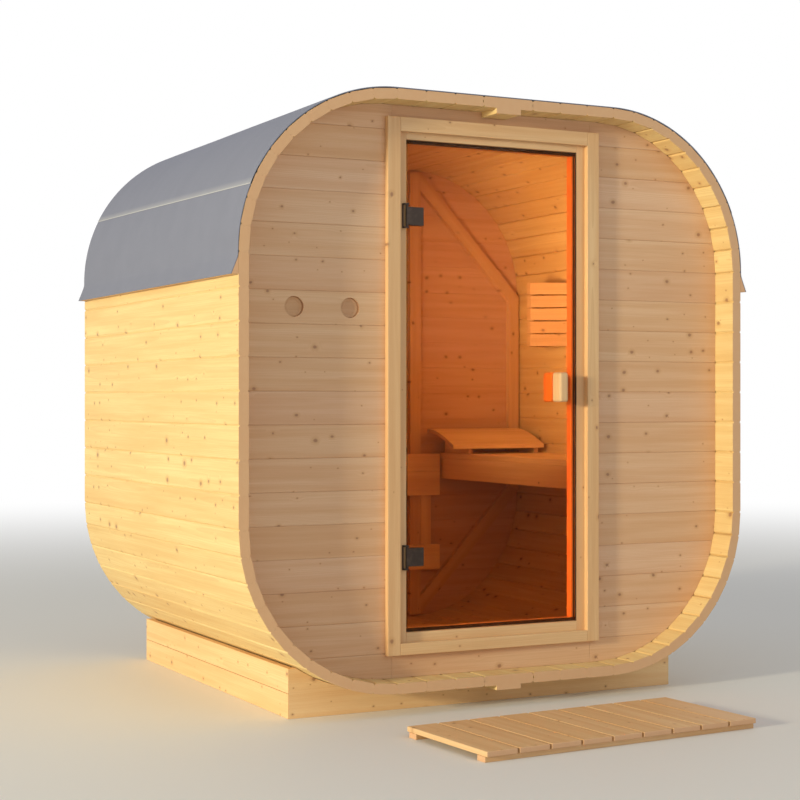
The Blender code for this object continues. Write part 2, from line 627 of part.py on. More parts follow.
def build_hinges(cabin, door, look):
    """Builds the brackets on the frame and the clamp plates on the glass, with their barrels."""
    front = GLASS_FACE - SEAT_GAP - HINGE_Y
    back = GLASS_BACK + SEAT_GAP - HINGE_Y
    near = HINGE_AXIS_SIDE + 0.004
    far = near + HINGE_PLATE_WIDTH
    arm = BRACKET_HEIGHT / 2
    inner_arm = arm - BRACKET_ARM
    frame_face = WALL_FACE - SEAT_GAP
    arm_right = HINGE_X + HINGE_BARREL_RADIUS
    bar_left = -REBATE_HALF - BRACKET_WIDTH
    for name, height in zip(("lower", "upper"), HINGE_HEIGHTS):
        low = height - HINGE_PLATE_HEIGHT / 2
        high = height + HINGE_PLATE_HEIGHT / 2
        plate = rectangle(near, low, far, high)
        clamp = extruded(
            "hinge_clamp_" + name, plate, "Y", front - HINGE_PLATE_THICKNESS, front, look, door, smooth=30.0
        )
        barrel_half = inner_arm - SEAT_GAP
        barrel = [circle(0.0, 0.0, HINGE_BARREL_RADIUS, 20)]
        span = (height - barrel_half, height + barrel_half)
        boolean(clamp, guide(name + "_barrel", barrel, "Z", *span, door), "UNION")
        strap = [rectangle(HINGE_BARREL_RADIUS - 0.0025, -0.005, near + 0.006, front - 0.003)]
        boolean(clamp, guide(name + "_strap", strap, "Z", low + 0.002, high - 0.002, door), "UNION")
        bore = [circle(0.0, 0.0, HINGE_PIN_RADIUS + SEAT_GAP, 12)]
        boolean(clamp, guide(name + "_bore", bore, "Z", height - arm, height + arm, door), "DIFFERENCE")
        bolt_x = near + HINGE_PLATE_WIDTH / 2
        spread = HINGE_PLATE_HEIGHT / 4
        bolts = [circle(bolt_x, height + side * spread, CLAMP_BOLT_RADIUS, 12) for side in (-1, 1)]
        boolean(clamp, guide(name + "_bolts", bolts, "Y", front - 0.003, back + 0.003, door), "UNION")
        inside = [rectangle(near + 0.008, low, far, high)]
        boolean(clamp, guide(name + "_back_plate", inside, "Y", back, back + HINGE_BACK_PLATE, door), "UNION")
        bar = rectangle(bar_left, height - arm, bar_left + BRACKET_BAR, height + arm)
        bracket = extruded(
            "hinge_bracket_" + name, bar, "Y", frame_face - BRACKET_THICKNESS, frame_face, look, cabin
        )
        arms = [
            rectangle(bar_left + BRACKET_BAR / 2, height + inner_arm, arm_right, height + arm - 0.0004),
            rectangle(bar_left + BRACKET_BAR / 2, height - arm + 0.0004, arm_right, height - inner_arm),
        ]
        reach = (HINGE_Y - HINGE_BARREL_RADIUS, frame_face - 0.0004)
        boolean(bracket, guide(name + "_arms", arms, "Y", *reach, cabin), "UNION")
        pin = [circle(HINGE_X, HINGE_Y, HINGE_PIN_RADIUS, 12)]
        tip = arm - BRACKET_ARM / 2
        boolean(bracket, guide(name + "_pin", pin, "Z", height - tip, height + tip, cabin), "UNION")


def build_door_leaf(door, glass_look, handle_look):
    """Builds the glass leaf with its bolt holes and the two handle blocks."""
    near = HINGE_AXIS_SIDE
    front = GLASS_FACE - HINGE_Y
    back = GLASS_BACK - HINGE_Y
    pane = rectangle(near, LEAF_BOTTOM, near + LEAF_WIDTH, LEAF_TOP)
    glass = extruded("door_glass", pane, "Y", front, back, glass_look, door)
    bolt_x = near + 0.004 + HINGE_PLATE_WIDTH / 2
    holes = [
        circle(bolt_x, height + side * HINGE_PLATE_HEIGHT / 4, CLAMP_BOLT_RADIUS + SEAT_GAP, 12)
        for height in HINGE_HEIGHTS for side in (-1, 1)
    ]
    boolean(glass, guide("glass_holes", holes, "Y", front - 0.02, back + 0.02, door), "DIFFERENCE")
    right = near + LEAF_WIDTH - HANDLE_FROM_EDGE
    block = rectangle(
        right - HANDLE_WIDTH, HANDLE_LEVEL - HANDLE_HEIGHT / 2, right, HANDLE_LEVEL + HANDLE_HEIGHT / 2
    )
    outside = (front - SEAT_GAP - HANDLE_DEPTH, front - SEAT_GAP)
    inside = (back + SEAT_GAP, back + SEAT_GAP + HANDLE_DEPTH)
    for name, ends in (("door_handle_outside", outside), ("door_handle_inside", inside)):
        handle = extruded(name, block, "Y", *ends, handle_look, door, smooth=40.0)
        rounded(handle, HANDLE_ROUNDING, 3)


def sheet_line(offset, lap_offset):
    """Follows the outside of the roof at an offset, from the left drip edge to the ridge."""
    flare = DRIP_BATTEN_DEPTH
    rise = DRIP_BATTEN_TOP - SHEET_LOWER_EDGE
    spread = math.hypot(rise, flare) / rise
    side = -HALF_WIDTH
    line = [
        (side - flare - SEAT_GAP - offset * spread, SHEET_LOWER_EDGE),
        (side - DRIP_BATTEN_TIP - SEAT_GAP - offset * spread, DRIP_BATTEN_TOP),
        (side - offset, DRIP_BATTEN_TOP + offset),
    ]
    centre = (-ARC_X, CENTRE_Z + ARC_Z)
    stave_angle = 90.0 / CORNER_STAVES
    for index in range(CORNER_STAVES + 1):
        lift = lap_offset if index * stave_angle > SHEET_LAP_ANGLE else offset
        line += arc_points(centre, CORNER_RADIUS + lift, 180.0 - index * stave_angle, 180.0, 1)[:1]
        if index * stave_angle < SHEET_LAP_ANGLE < (index + 1) * stave_angle and lap_offset > offset:
            line += arc_points(centre, CORNER_RADIUS + offset, 180.0 - SHEET_LAP_ANGLE, 180.0, 1)[:1]
            line += arc_points(centre, CORNER_RADIUS + lap_offset, 180.0 - SHEET_LAP_ANGLE, 180.0, 1)[:1]
    return line


def build_roof(cabin, look, batten_look):
    """Builds the roof sheet that laps over the barrel, and the drip battens under its edges."""
    outer = sheet_line(SEAT_GAP + SHEET_THICKNESS, SEAT_GAP + SHEET_THICKNESS + SHEET_LAP_STEP)
    inner = sheet_line(SEAT_GAP, SEAT_GAP)
    outline = outer + mirrored(outer) + inner_to_ring(inner)
    extruded("roof_sheet", outline, "Y", 0.0, HULL_LENGTH, look, cabin, smooth=25.0)
    side = -HALF_WIDTH - SEAT_GAP
    wedge = [
        (side, SHEET_LOWER_EDGE), (side, DRIP_BATTEN_TOP), (side - DRIP_BATTEN_TIP + SEAT_GAP, DRIP_BATTEN_TOP),
        (side - DRIP_BATTEN_DEPTH + SEAT_GAP, SHEET_LOWER_EDGE),
    ]
    extruded("drip_batten_left", wedge, "Y", 0.0, HULL_LENGTH, batten_look, cabin)
    extruded("drip_batten_right", mirrored(wedge), "Y", 0.0, HULL_LENGTH, batten_look, cabin)


def inner_to_ring(inner):
    """Turns the left inner line of the sheet into the way back from right to left."""
    return [(-a, b) for a, b in inner] + list(reversed(inner))


def build_bench(cabin, look):
    """Builds the bench along the right wall, its fascia and the headrest on it."""
    start = WALL_INSIDE + SEAT_GAP
    end = BACK_INSIDE - 2 * SEAT_GAP - BATTEN_THICKNESS
    right = INNER_X - SEAT_GAP
    under = BENCH_TOP - BENCH_BOARD_THICKNESS
    width = (right - BENCH_FRONT - (BENCH_BOARDS - 1) * BENCH_BOARD_GAP) / BENCH_BOARDS
    step = width + BENCH_BOARD_GAP
    boards = [
        rectangle(BENCH_FRONT + index * step, under, BENCH_FRONT + index * step + width, BENCH_TOP)
        for index in range(BENCH_BOARDS)
    ]
    mesh = extruded_mesh("bench_seat", boards, "Y", end - start)
    seat = make_object("bench_seat", mesh, (0.0, start, 0.0), cabin, look)
    cleat_low = under - BENCH_CLEAT + 0.005
    inner_edge = BENCH_FRONT + FASCIA_THICKNESS + SEAT_GAP
    spread = (end - start - 3 * BENCH_CLEAT) / 4
    cleats = []
    for index in range(3):
        low = start + spread + index * (spread + BENCH_CLEAT)
        cleats.append(rectangle(low, cleat_low, low + BENCH_CLEAT, under + 0.005))
    boolean(seat, guide("bench_cleats", cleats, "X", inner_edge, right, cabin), "UNION")
    fascia = rectangle(
        BENCH_FRONT, under - SEAT_GAP - FASCIA_HEIGHT, BENCH_FRONT + FASCIA_THICKNESS, under - SEAT_GAP
    )
    extruded("bench_fascia", fascia, "Y", start, end, look, cabin)
    build_headrest(cabin, look, end - 0.004)


def build_headrest(cabin, look, back):
    """Builds the headrest: a curved row of boards on two cheeks, lying on the bench."""
    front = back - HEADREST_DEPTH
    base = BENCH_TOP + SEAT_GAP
    rise = HEADREST_BACK_HEIGHT - HEADREST_FRONT_HEIGHT
    steps = 6
    crown = []
    for index in range(steps + 1):
        share = index / steps
        height = HEADREST_FRONT_HEIGHT + rise * math.sin(share * math.pi / 2)
        crown.append((front + HEADREST_DEPTH * share, base + height))
    under = [(a, b - HEADREST_BOARD) for a, b in crown]
    left = BENCH_FRONT - HEADREST_OVERHANG
    boards = extruded(
        "headrest", crown + list(reversed(under)), "X", left, left + HEADREST_WIDTH, look, cabin, smooth=30.0
    )
    middle = [(a, b - HEADREST_BOARD / 2) for a, b in crown]
    cheek = [(front + 0.02, base), (back - 0.004, base), *reversed(middle[1:-1])]
    cheek.insert(2, (back - 0.004, middle[-1][1] - 0.0005))
    places = (BENCH_FRONT + 0.02, left + HEADREST_WIDTH - 0.02 - HEADREST_CHEEK)
    for index, place in enumerate(places):
        side = guide(f"headrest_cheek_{index}", [cheek], "X", place, place + HEADREST_CHEEK, cabin)
        boolean(boards, side, "UNION")


def build_wall_rails(cabin, look):
    """Builds the rails on two posts beside the bench, against the back wall."""
    back = BACK_INSIDE - SEAT_GAP
    middle = back - BATTEN_THICKNESS - SEAT_GAP
    right = BENCH_FRONT - RAIL_FROM_BENCH
    left = right - RAIL_LENGTH
    rails = [rectangle(left, low, right, high) for low, high in RAIL_SPANS]
    mesh = extruded_mesh("wall_rails", rails, "Y", RAIL_THICKNESS)
    made = make_object("wall_rails", mesh, (0.0, middle - RAIL_THICKNESS, 0.0), cabin, look)
    low = RAIL_SPANS[0][0]
    high = RAIL_SPANS[-1][1]
    places = (left + RAIL_POST_INSET, right - RAIL_POST_INSET - RAIL_POST_WIDTH)
    posts = [rectangle(place, low, place + RAIL_POST_WIDTH, high) for place in places]
    boolean(made, guide("rail_posts", posts, "Y", middle - 0.006, back, cabin), "UNION")


def build_lamp_shade(cabin, look):
    """Builds the shade on the right wall: bands of slats that run out to a narrow nose."""
    wall = INNER_X - SEAT_GAP
    middle = SHADE_START + SHADE_LENGTH / 2
    slope = (SHADE_LENGTH - SHADE_NOSE) / 2 / SHADE_REACH
    board = SHADE_BOARD * math.hypot(1.0, slope)
    back = 0.010
    inner = SHADE_REACH - SHADE_BOARD
    near = [
        (wall - out, middle - SHADE_LENGTH / 2 + slope * out + inset)
        for out, inset in ((back, board), (inner, board), (SHADE_REACH, 0.0), (back, 0.0))
    ]
    near_inner, near_outer = near[:2], near[2:]
    far_inner = [(a, 2 * middle - b) for a, b in reversed(near_inner)]
    far_outer = [(a, 2 * middle - b) for a, b in reversed(near_outer)]
    band = near_inner + far_inner + far_outer + near_outer
    step = SHADE_SLAT_HEIGHT + SHADE_SLAT_GAP
    lows = [SHADE_BOTTOM + index * step for index in range(SHADE_SLATS)]
    shade = extruded("lamp_shade", band, "Z", lows[0], lows[0] + SHADE_SLAT_HEIGHT, look, cabin)
    for index, low in enumerate(lows[1:]):
        slat = guide(f"shade_band_{index}", [band], "Z", low, low + SHADE_SLAT_HEIGHT, cabin)
        boolean(shade, slat, "UNION")
    top = lows[-1] + SHADE_SLAT_HEIGHT
    stick = 0.014
    half = SHADE_NOSE / 2 - SHADE_BOARD * 0.4
    nose = rectangle(near_inner[1][0] - SHADE_BOARD / 2, middle - half, near_inner[1][0] + stick, middle + half)
    boolean(shade, guide("shade_nose_post", [nose], "Z", lows[0] + 0.004, top - 0.004, cabin), "UNION")
    depth = back + stick
    edge = SHADE_LENGTH / 2 - slope * depth - 0.001
    wall_posts = [
        rectangle(wall - depth, middle + low, wall, middle + low + stick) for low in (-edge, edge - stick)
    ]
    straight_top = CENTRE_Z + ARC_Z - 0.008
    boolean(shade, guide("shade_wall_posts", wall_posts, "Z", lows[0] + 0.004, straight_top, cabin), "UNION")


def build_duckboard(cabin, look):
    """Builds the duckboard that lies in front of the door, turned a little from the wall."""
    left = MAT_CENTRE_X - MAT_WIDTH / 2
    front = -MAT_DISTANCE - MAT_DEPTH / 2
    step = MAT_SLAT_WIDTH + MAT_SLAT_GAP
    low = MAT_RUNNER_HEIGHT
    high = low + MAT_SLAT_THICKNESS
    round_off = 0.003
    slats = []
    for index in range(MAT_SLATS):
        start = left + index * step
        end = start + MAT_SLAT_WIDTH
        slats.append([
            (start, low), (end, low), (end, high - round_off), (end - round_off, high),
            (start + round_off, high), (start, high - round_off),
        ])
    mesh = extruded_mesh("duckboard", slats, "Y", MAT_DEPTH)
    board = make_object("duckboard", mesh, (0.0, front, 0.0), cabin, look)
    near = front + MAT_RUNNER_INSET
    far = front + MAT_DEPTH - MAT_RUNNER_INSET - MAT_RUNNER_WIDTH
    runners = [rectangle(y, 0.0, y + MAT_RUNNER_WIDTH, low + 0.003) for y in (near, far)]
    ends = (left + 0.0005, left + MAT_WIDTH - 0.0005)
    runner_guide = guide("duckboard_runners", runners, "X", *ends, cabin)
    for piece in (board, runner_guide):
        turned(piece, MAT_TURN, MAT_CENTRE_X, -MAT_DISTANCE)
    boolean(board, runner_guide, "UNION")


def main():
    """Clears the scene and builds the whole sauna."""
    for old in list(bpy.data.objects):
        bpy.data.objects.remove(old, do_unlink=True)
    sunlit = ((0.72, 0.50, 0.27), 0.62, 0.0, 1.0)
    board = ((0.66, 0.44, 0.23), 0.62, 0.0, 1.0)
    trim = ((0.74, 0.53, 0.30), 0.58, 0.0, 1.0)
    bronze = ((0.30, 0.13, 0.035), 0.06, 0.0, 0.45)
    dark = ((0.035, 0.028, 0.024), 0.38, 0.85, 1.0)
    rubber = ((0.020, 0.018, 0.016), 0.75, 0.0, 1.0)
    grey = ((0.26, 0.28, 0.30), 0.85, 0.0, 1.0)
    cabin = make_empty("cabin_origin", (0.0, FRONT_Y, 0.0))
    door = make_empty("door_pivot", (HINGE_X, HINGE_Y, 0.0), cabin)
    build_hull(cabin, sunlit, sunlit)
    build_plinth(cabin, board)
    build_end_walls(cabin, board)
    build_back_battens(cabin, trim)
    build_door_frame(cabin, trim, rubber)
    build_hinges(cabin, door, dark)
    build_door_leaf(door, bronze, trim)
    build_roof(cabin, grey, trim)
    build_bench(cabin, trim)
    build_wall_rails(cabin, trim)
    build_lamp_shade(cabin, trim)
    build_duckboard(cabin, trim)


if __name__ == "__main__":
    main()
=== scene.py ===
"""Outdoor sauna: a square barrel of spruce staves on a plinth, with a bronze glass door.

Metres, +Z up. X runs across the front, +Y points from the door to the back wall and
z = 0 is the ground. The sizes of the cabin count Y from the front rim of the barrel, and
FRONT_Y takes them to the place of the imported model.
"""

import logging
import math
from collections.abc import Callable
from dataclasses import dataclass, field, replace
from enum import Enum
from functools import cached_property

import bmesh
import bpy
from mathutils import Matrix, Vector, noise


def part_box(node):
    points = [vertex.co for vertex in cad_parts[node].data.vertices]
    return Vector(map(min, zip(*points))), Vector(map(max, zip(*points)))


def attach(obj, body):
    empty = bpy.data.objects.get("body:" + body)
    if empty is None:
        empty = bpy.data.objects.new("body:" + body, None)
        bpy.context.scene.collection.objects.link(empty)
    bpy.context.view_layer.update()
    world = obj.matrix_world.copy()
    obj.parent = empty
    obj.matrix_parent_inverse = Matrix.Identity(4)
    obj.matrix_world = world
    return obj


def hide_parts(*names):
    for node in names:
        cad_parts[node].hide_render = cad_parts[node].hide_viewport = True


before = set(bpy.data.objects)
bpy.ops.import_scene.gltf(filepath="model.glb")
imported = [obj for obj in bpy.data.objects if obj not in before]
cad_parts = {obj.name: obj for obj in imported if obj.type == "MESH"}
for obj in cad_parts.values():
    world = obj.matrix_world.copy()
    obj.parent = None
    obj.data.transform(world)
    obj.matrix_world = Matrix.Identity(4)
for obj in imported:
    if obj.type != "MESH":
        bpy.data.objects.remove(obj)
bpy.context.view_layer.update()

Colour = tuple[float, float, float, float]
Flat = tuple[float, float]
Spot = tuple[float, float, float]

LOG = logging.getLogger("sauna")
FRONT_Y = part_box("hull_left_side")[0].y
SEAT = 0.0003
SHARP_TURN = 50.0
CUT_SLACK = 1e-7
FINE_EDGE = 0.0009
SOFT_EDGE = 0.0012
ROUND_EDGE = 0.0016
WORN_EDGE = 0.0025


class Axis(Enum):
    """Directions that a board's grain runs in, or that an outline is drawn out along."""

    X = (1.0, 0.0, 0.0)
    Y = (0.0, 1.0, 0.0)
    Z = (0.0, 0.0, 1.0)

    @property
    def way(self) -> Vector:
        """Gives the direction as a vector."""
        return Vector(self.value)

    def place(self, first: float, second: float, reach: float) -> Vector:
        """Puts a point of an outline in space.

        Args:
            first: First coordinate in the outline's plane.
            second: Second coordinate in the outline's plane.
            reach: Distance along this axis.

        Returns:
            The point, with the other two axes in the order X, Y, Z.
        """
        rest = [first, second]
        return Vector([reach if part else rest.pop(0) for part in self.value])


class Body(Enum):
    """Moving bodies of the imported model."""

    CABIN = "cabin"
    DOOR = "door"


def shade(red: float, green: float, blue: float) -> Colour:
    """Turns a colour in steps of 0 to 255 into the linear numbers of the shaders.

    Args:
        red: Red share.
        green: Green share.
        blue: Blue share.

    Returns:
        The linear colour, opaque.
    """
    parts = [part / 255.0 for part in (red, green, blue)]
    return (*(part / 12.92 if part <= 0.04045 else ((part + 0.055) / 1.055) ** 2.4 for part in parts), 1.0)


def _operator(operation: str, swapped: bool = False) -> Callable[["Flow", "Flow | float"], "Flow"]:
    """Makes an operator of Flow from an operation of the Math node.

    Args:
        operation: Name of the operation.
        swapped: Whether the flow is its second value.

    Returns:
        The operator, which adds the node.
    """

    def work(flow: "Flow", other: "Flow | float") -> "Flow":
        """Adds the Math node."""
        pair = {0: other, 1: flow} if swapped else {0: flow, 1: other}
        return flow.sheet.node("ShaderNodeMath", pair, operation=operation)

    return work


class Flow:
    """What comes out of one socket, with plain operators for the maths of values."""

    def __init__(self, sheet: "Sheet", socket: bpy.types.NodeSocket) -> None:
        """Keeps the sheet and the socket."""
        self.sheet = sheet
        self.socket = socket

    __add__, __radd__ = _operator("ADD"), _operator("ADD", swapped=True)
    __sub__, __rsub__ = _operator("SUBTRACT"), _operator("SUBTRACT", swapped=True)
    __mul__, __rmul__ = _operator("MULTIPLY"), _operator("MULTIPLY", swapped=True)
    __truediv__, __rtruediv__ = _operator("DIVIDE"), _operator("DIVIDE", swapped=True)
    __pow__, __rpow__ = _operator("POWER"), _operator("POWER", swapped=True)
    below = _operator("LESS_THAN")

    def out(self, name: str) -> "Flow":
        """Gives another output of the same node."""
        return Flow(self.sheet, self.socket.node.outputs[name])

    def fraction(self) -> "Flow":
        """Gives what is left over past the whole number."""
        return self.sheet.node("ShaderNodeMath", {0: self}, operation="FRACT")

    def ramp(self, start: float, end: float, low: float = 0.0, high: float = 1.0) -> "Flow":
        """Leads the value softly from one level to another.

        Args:
            start: Value at which the change starts.
            end: Value at which the change ends.
            low: Result before the start.
            high: Result past the end.

        Returns:
            The eased value.
        """
        spans = {"Value": self, "From Min": start, "From Max": end, "To Min": low, "To Max": high}
        return self.sheet.node("ShaderNodeMapRange", spans, interpolation_type="SMOOTHSTEP")


@dataclass
class Sheet:
    """The nodes of one finish, or of one rule that repeats boards."""

    tree: bpy.types.NodeTree

    def node(self, kind: str, inputs: dict | None = None, output: int | str = 0, **settings: str) -> Flow:
        """Adds a node.

        Args:
            kind: Type name of the node.
            inputs: Values or flows of its sockets, by name or number.
            output: Output to give back, by name or number.
            settings: Settings of the node, which are made first.

        Returns:
            The chosen output.
        """
        made = self.tree.nodes.new(kind)
        for name, value in settings.items():
            setattr(made, name, value)
        for key, value in (inputs or {}).items():
            if isinstance(value, Flow):
                self.link(value, made.inputs[key])
            else:
                made.inputs[key].default_value = value
        return Flow(self, made.outputs[output] if len(made.outputs) else None)

    def link(self, flow: Flow, socket: bpy.types.NodeSocket) -> None:
        """Leads a flow into a socket."""
        self.tree.links.new(flow.socket, socket)

    def attribute(self, name: str, output: str = "Fac") -> Flow:
        """Reads a named attribute of the mesh."""
        return self.node("ShaderNodeAttribute", output=output, attribute_name=name)

    def place(self) -> Flow:
        """Reads where a point lies on the object."""
        return self.node("ShaderNodeTexCoord", output="Object")

    def parts(self, vector: Flow) -> tuple[Flow, Flow, Flow]:
        """Splits a vector into its three values."""
        split = self.node("ShaderNodeSeparateXYZ", {0: vector})
        return split, split.out("Y"), split.out("Z")

    def vector(self, first: Flow | float, second: Flow | float, third: Flow | float = 0.0) -> Flow:
        """Joins three values into a vector."""
        return self.node("ShaderNodeCombineXYZ", {0: first, 1: second, 2: third})

    def mix(self, share: Flow | float, first: Flow | Colour, second: Flow | Colour, way: str = "MIX") -> Flow:
        """Mixes two colours.

        Args:
            share: Share of the second colour.
            first: First colour.
            second: Second colour.
            way: How they are blended.

        Returns:
            The mixed colour.
        """
        given = {0: share, 6: first, 7: second}
        return self.node("ShaderNodeMix", given, 2, data_type="RGBA", blend_type=way)

    def noise(self, vector: Flow, scale: float, detail: float = 2.0, roughness: float = 0.5) -> Flow:
        """Reads a soft random pattern."""
        return self.node(
            "ShaderNodeTexNoise", {"Vector": vector, "Scale": scale, "Detail": detail, "Roughness": roughness}
        )

    def seen(self) -> Flow:
        """Gives 1 for the rays that show a surface to the eye, and 0 for those that light it."""
        path = self.node("ShaderNodeLightPath", output="Is Camera Ray")
        return (path + path.out("Is Glossy Ray") + path.out("Is Transmission Ray")).ramp(0.0, 1.0)

    def blend(self, share: Flow, shader: bpy.types.Node, other: Flow) -> None:
        """Mixes another shader over the material's own one."""
        both = self.node("ShaderNodeMixShader", {0: share, 1: Flow(self, shader.outputs[0]), 2: other})
        self.link(both, self.tree.nodes["Material Output"].inputs["Surface"])

    def surface(
        self, shader: bpy.types.Node, colour: Flow, rough: Flow, relief: Flow, strength: float, depth: float
    ) -> None:
        """Leads what changes over a surface into its shader.

        Args:
            shader: Principled node of the material.
            colour: Its colour.
            rough: Its roughness.
            relief: Height of its relief.
            strength: Strength of the relief.
            depth: Height that 1 stands for.
        """
        bump = self.node("ShaderNodeBump", {"Strength": strength, "Distance": depth, "Height": relief})
        for name, flow in (("Base Color", colour), ("Roughness", rough), ("Normal", bump)):
            self.link(flow, shader.inputs[name])


@dataclass(frozen=True)
class Finish:
    """A finish with its name, the record's slot it belongs to and the colour it starts from."""

    name: str
    slot: str
    tone: Colour
    roughness: float

    @cached_property
    def material(self) -> bpy.types.Material:
        """Builds the finish when it is first asked for."""
        made = bpy.data.materials.new(self.name)
        made.use_nodes = True
        made.diffuse_color = self.tone
        shader = made.node_tree.nodes["Principled BSDF"]
        shader.inputs["Base Color"].default_value = self.tone
        shader.inputs["Roughness"].default_value = self.roughness
        self.dress(Sheet(made.node_tree), shader)
        return made

    def dress(self, sheet: Sheet, shader: bpy.types.Node) -> None:
        """Adds what changes over the surface.

        Args:
            sheet: Node sheet of the material.
            shader: Its Principled node.
        """
        raise NotImplementedError


@dataclass(frozen=True)
class Spruce(Finish):
    """Planed spruce with growth rings, fibre streaks and small dark knots."""

    warm: Colour = shade(222, 180, 124)
    late: Colour = shade(188, 136, 84)
    end: Colour = shade(214, 168, 128)
    heart: Colour = shade(150, 104, 72)
    blush: Colour = shade(168, 104, 62)
    ring_gap: float = 0.0045
    knot_cell: float = 0.088
    knot_share: float = 0.50
    knot_size: float = 0.0070
    knot_least: float = 0.0020
    end_depth: float = 0.85

    def dress(self, sheet: Sheet, shader: bpy.types.Node) -> None:
        """Adds the rings, streaks and knots of each board.

        Args:
            sheet: Node sheet of the material.
            shader: Its Principled node.
        """
        number = sheet.attribute("board")
        along, across, through = sheet.parts(sheet.attribute("grain", "Vector"))
        draw = sheet.node("ShaderNodeTexWhiteNoise", {"W": number * 97.0}, "Color", noise_dimensions="1D")
        first, second, third = sheet.parts(draw)
        place = along + number * 83.0
        core, halo, swirl = self._knots(sheet, place, across + number * 5.1)
        slow = sheet.noise(sheet.vector(place * 0.9, across * 7.0, through * 7.0), 1.0)
        streak = sheet.noise(sheet.vector(place * 1.4, across * 34.0, through * 34.0), 1.0, 3.0)
        fibre = sheet.noise(sheet.vector(place * 7.0, across * 420.0, through * 420.0), 1.0, 3.0, 0.6)
        side = across - (first - 0.5) * 0.09
        depth = through + (second * 0.06 + 0.012)
        pith = (side * side + depth * depth) ** 0.5
        years = (pith + (slow - 0.5) * 0.020 + swirl * 0.007) / self.ring_gap
        ring = years.fraction() ** 2.4
        base = sheet.mix(third * 0.38, self.tone, self.warm)
        wood = sheet.mix(ring * (0.11 + streak.ramp(0.35, 0.75) * 0.20), base, self.late)
        cast = streak.ramp(0.30, 0.72, 0.93, 1.03) * (0.968 + second * 0.05)
        cast = cast * fibre.ramp(0.2, 0.8, 0.965, 1.02)
        wood = sheet.mix(1.0, wood, sheet.vector(cast, cast * cast, cast * cast * cast), "MULTIPLY")
        end = sheet.attribute("end_grain")
        core, halo = core * (1.0 - end), halo * (1.0 - end)
        knot = sheet.mix(swirl.ramp(0.25, 0.7), self.blush, self.heart)
        wood = sheet.mix(core * 0.80, sheet.mix(halo * 0.36, wood, self.late), knot)
        wood = sheet.mix(end * self.end_depth, wood, self.end)
        rough = self.roughness + (fibre - 0.5) * 0.22 - core * 0.12
        sheet.surface(shader, wood, rough, fibre * 0.55 + ring * 0.30 - core * 0.35, 0.16, 0.0012)

    def _knots(self, sheet: Sheet, along: Flow, across: Flow) -> tuple[Flow, Flow, Flow]:
        """Scatters knots over a board.

        Args:
            sheet: Node sheet of the material.
            along: Place along the grain.
            across: Place across the board.

        Returns:
            Masks of the knots' cores and halos, and how far the rings swerve.
        """
        shift = sheet.noise(sheet.vector(along, across), 55.0) - 0.5
        warped = along + shift * 0.006
        lifted = (across - shift * 0.005) * 1.25
        spot = sheet.vector(warped / self.knot_cell, lifted / self.knot_cell)
        cells = sheet.node(
            "ShaderNodeTexVoronoi", {"Vector": spot, "Scale": 1.0}, "Distance", voronoi_dimensions="2D"
        )
        draw, size, _ = sheet.parts(cells.out("Color"))
        there = draw.below(self.knot_share)
        away = cells * self.knot_cell
        ratio = away / (size**2.4 * self.knot_size + self.knot_least)
        core = ratio.ramp(0.45, 1.25, 1.0, 0.0) * there
        halo = ratio.ramp(0.8, 3.0, 1.0, 0.0) * there
        swirl = away.ramp(0.0, 0.034, 1.0, 0.0) * there * size
        return core, halo, swirl


@dataclass(frozen=True)
class RoofFelt(Finish):
    """Grey roofing sheet with fine grit, faint clouds and a paler edge at each lap."""

    edge: Colour = shade(196, 196, 198)

    def dress(self, sheet: Sheet, shader: bpy.types.Node) -> None:
        """Adds the grit and the clouds.

        Args:
            sheet: Node sheet of the material.
            shader: Its Principled node.
        """
        along, down, _ = sheet.parts(sheet.attribute("grain", "Vector"))
        flat = sheet.vector(along, down)
        grit = sheet.noise(flat, 1400.0, 1.0)
        cloud = sheet.noise(flat, 9.0, 4.0)
        cast = grit.ramp(0.25, 0.75, 0.91, 1.08) * cloud.ramp(0.3, 0.7, 0.975, 1.02)
        felt = sheet.mix(1.0, self.tone, sheet.vector(cast, cast, cast), "MULTIPLY")
        felt = sheet.mix(sheet.attribute("board") * 0.8, felt, self.edge)
        rough = self.roughness + (grit - 0.5) * 0.15
        sheet.surface(shader, felt, rough, grit * 0.4 + cloud * 1.2, 0.25, 0.0010)


@dataclass(frozen=True)
class Coated(Finish):
    """Dark coating with a fine grain and clouds of paler wear."""

    worn: Colour = shade(92, 78, 66)
    wear: float = 0.35
    wear_start: float = 0.45
    clouds: float = 55.0
    grain: Spot = (900.0, 900.0, 60.0)
    detail: float = 2.0
    metallic: float = 0.75
    shine: float = 0.25
    relief: float = 0.12

    def dress(self, sheet: Sheet, shader: bpy.types.Node) -> None:
        """Adds the grain and the wear.

        Args:
            sheet: Node sheet of the material.
            shader: Its Principled node.
        """
        place = sheet.place()
        scaled = [part * scale for part, scale in zip(sheet.parts(place), self.grain)]
        grain = sheet.noise(sheet.vector(*scaled), 1.0, self.detail)
        cloud = sheet.noise(place, self.clouds, 3.0)
        tone = sheet.mix(cloud.ramp(self.wear_start, 0.8, 0.0, self.wear), self.tone, self.worn)
        shader.inputs["Metallic"].default_value = self.metallic
        rough = self.roughness + (grain - 0.5) * self.shine
        sheet.surface(shader, tone, rough, grain, self.relief, 0.0004)


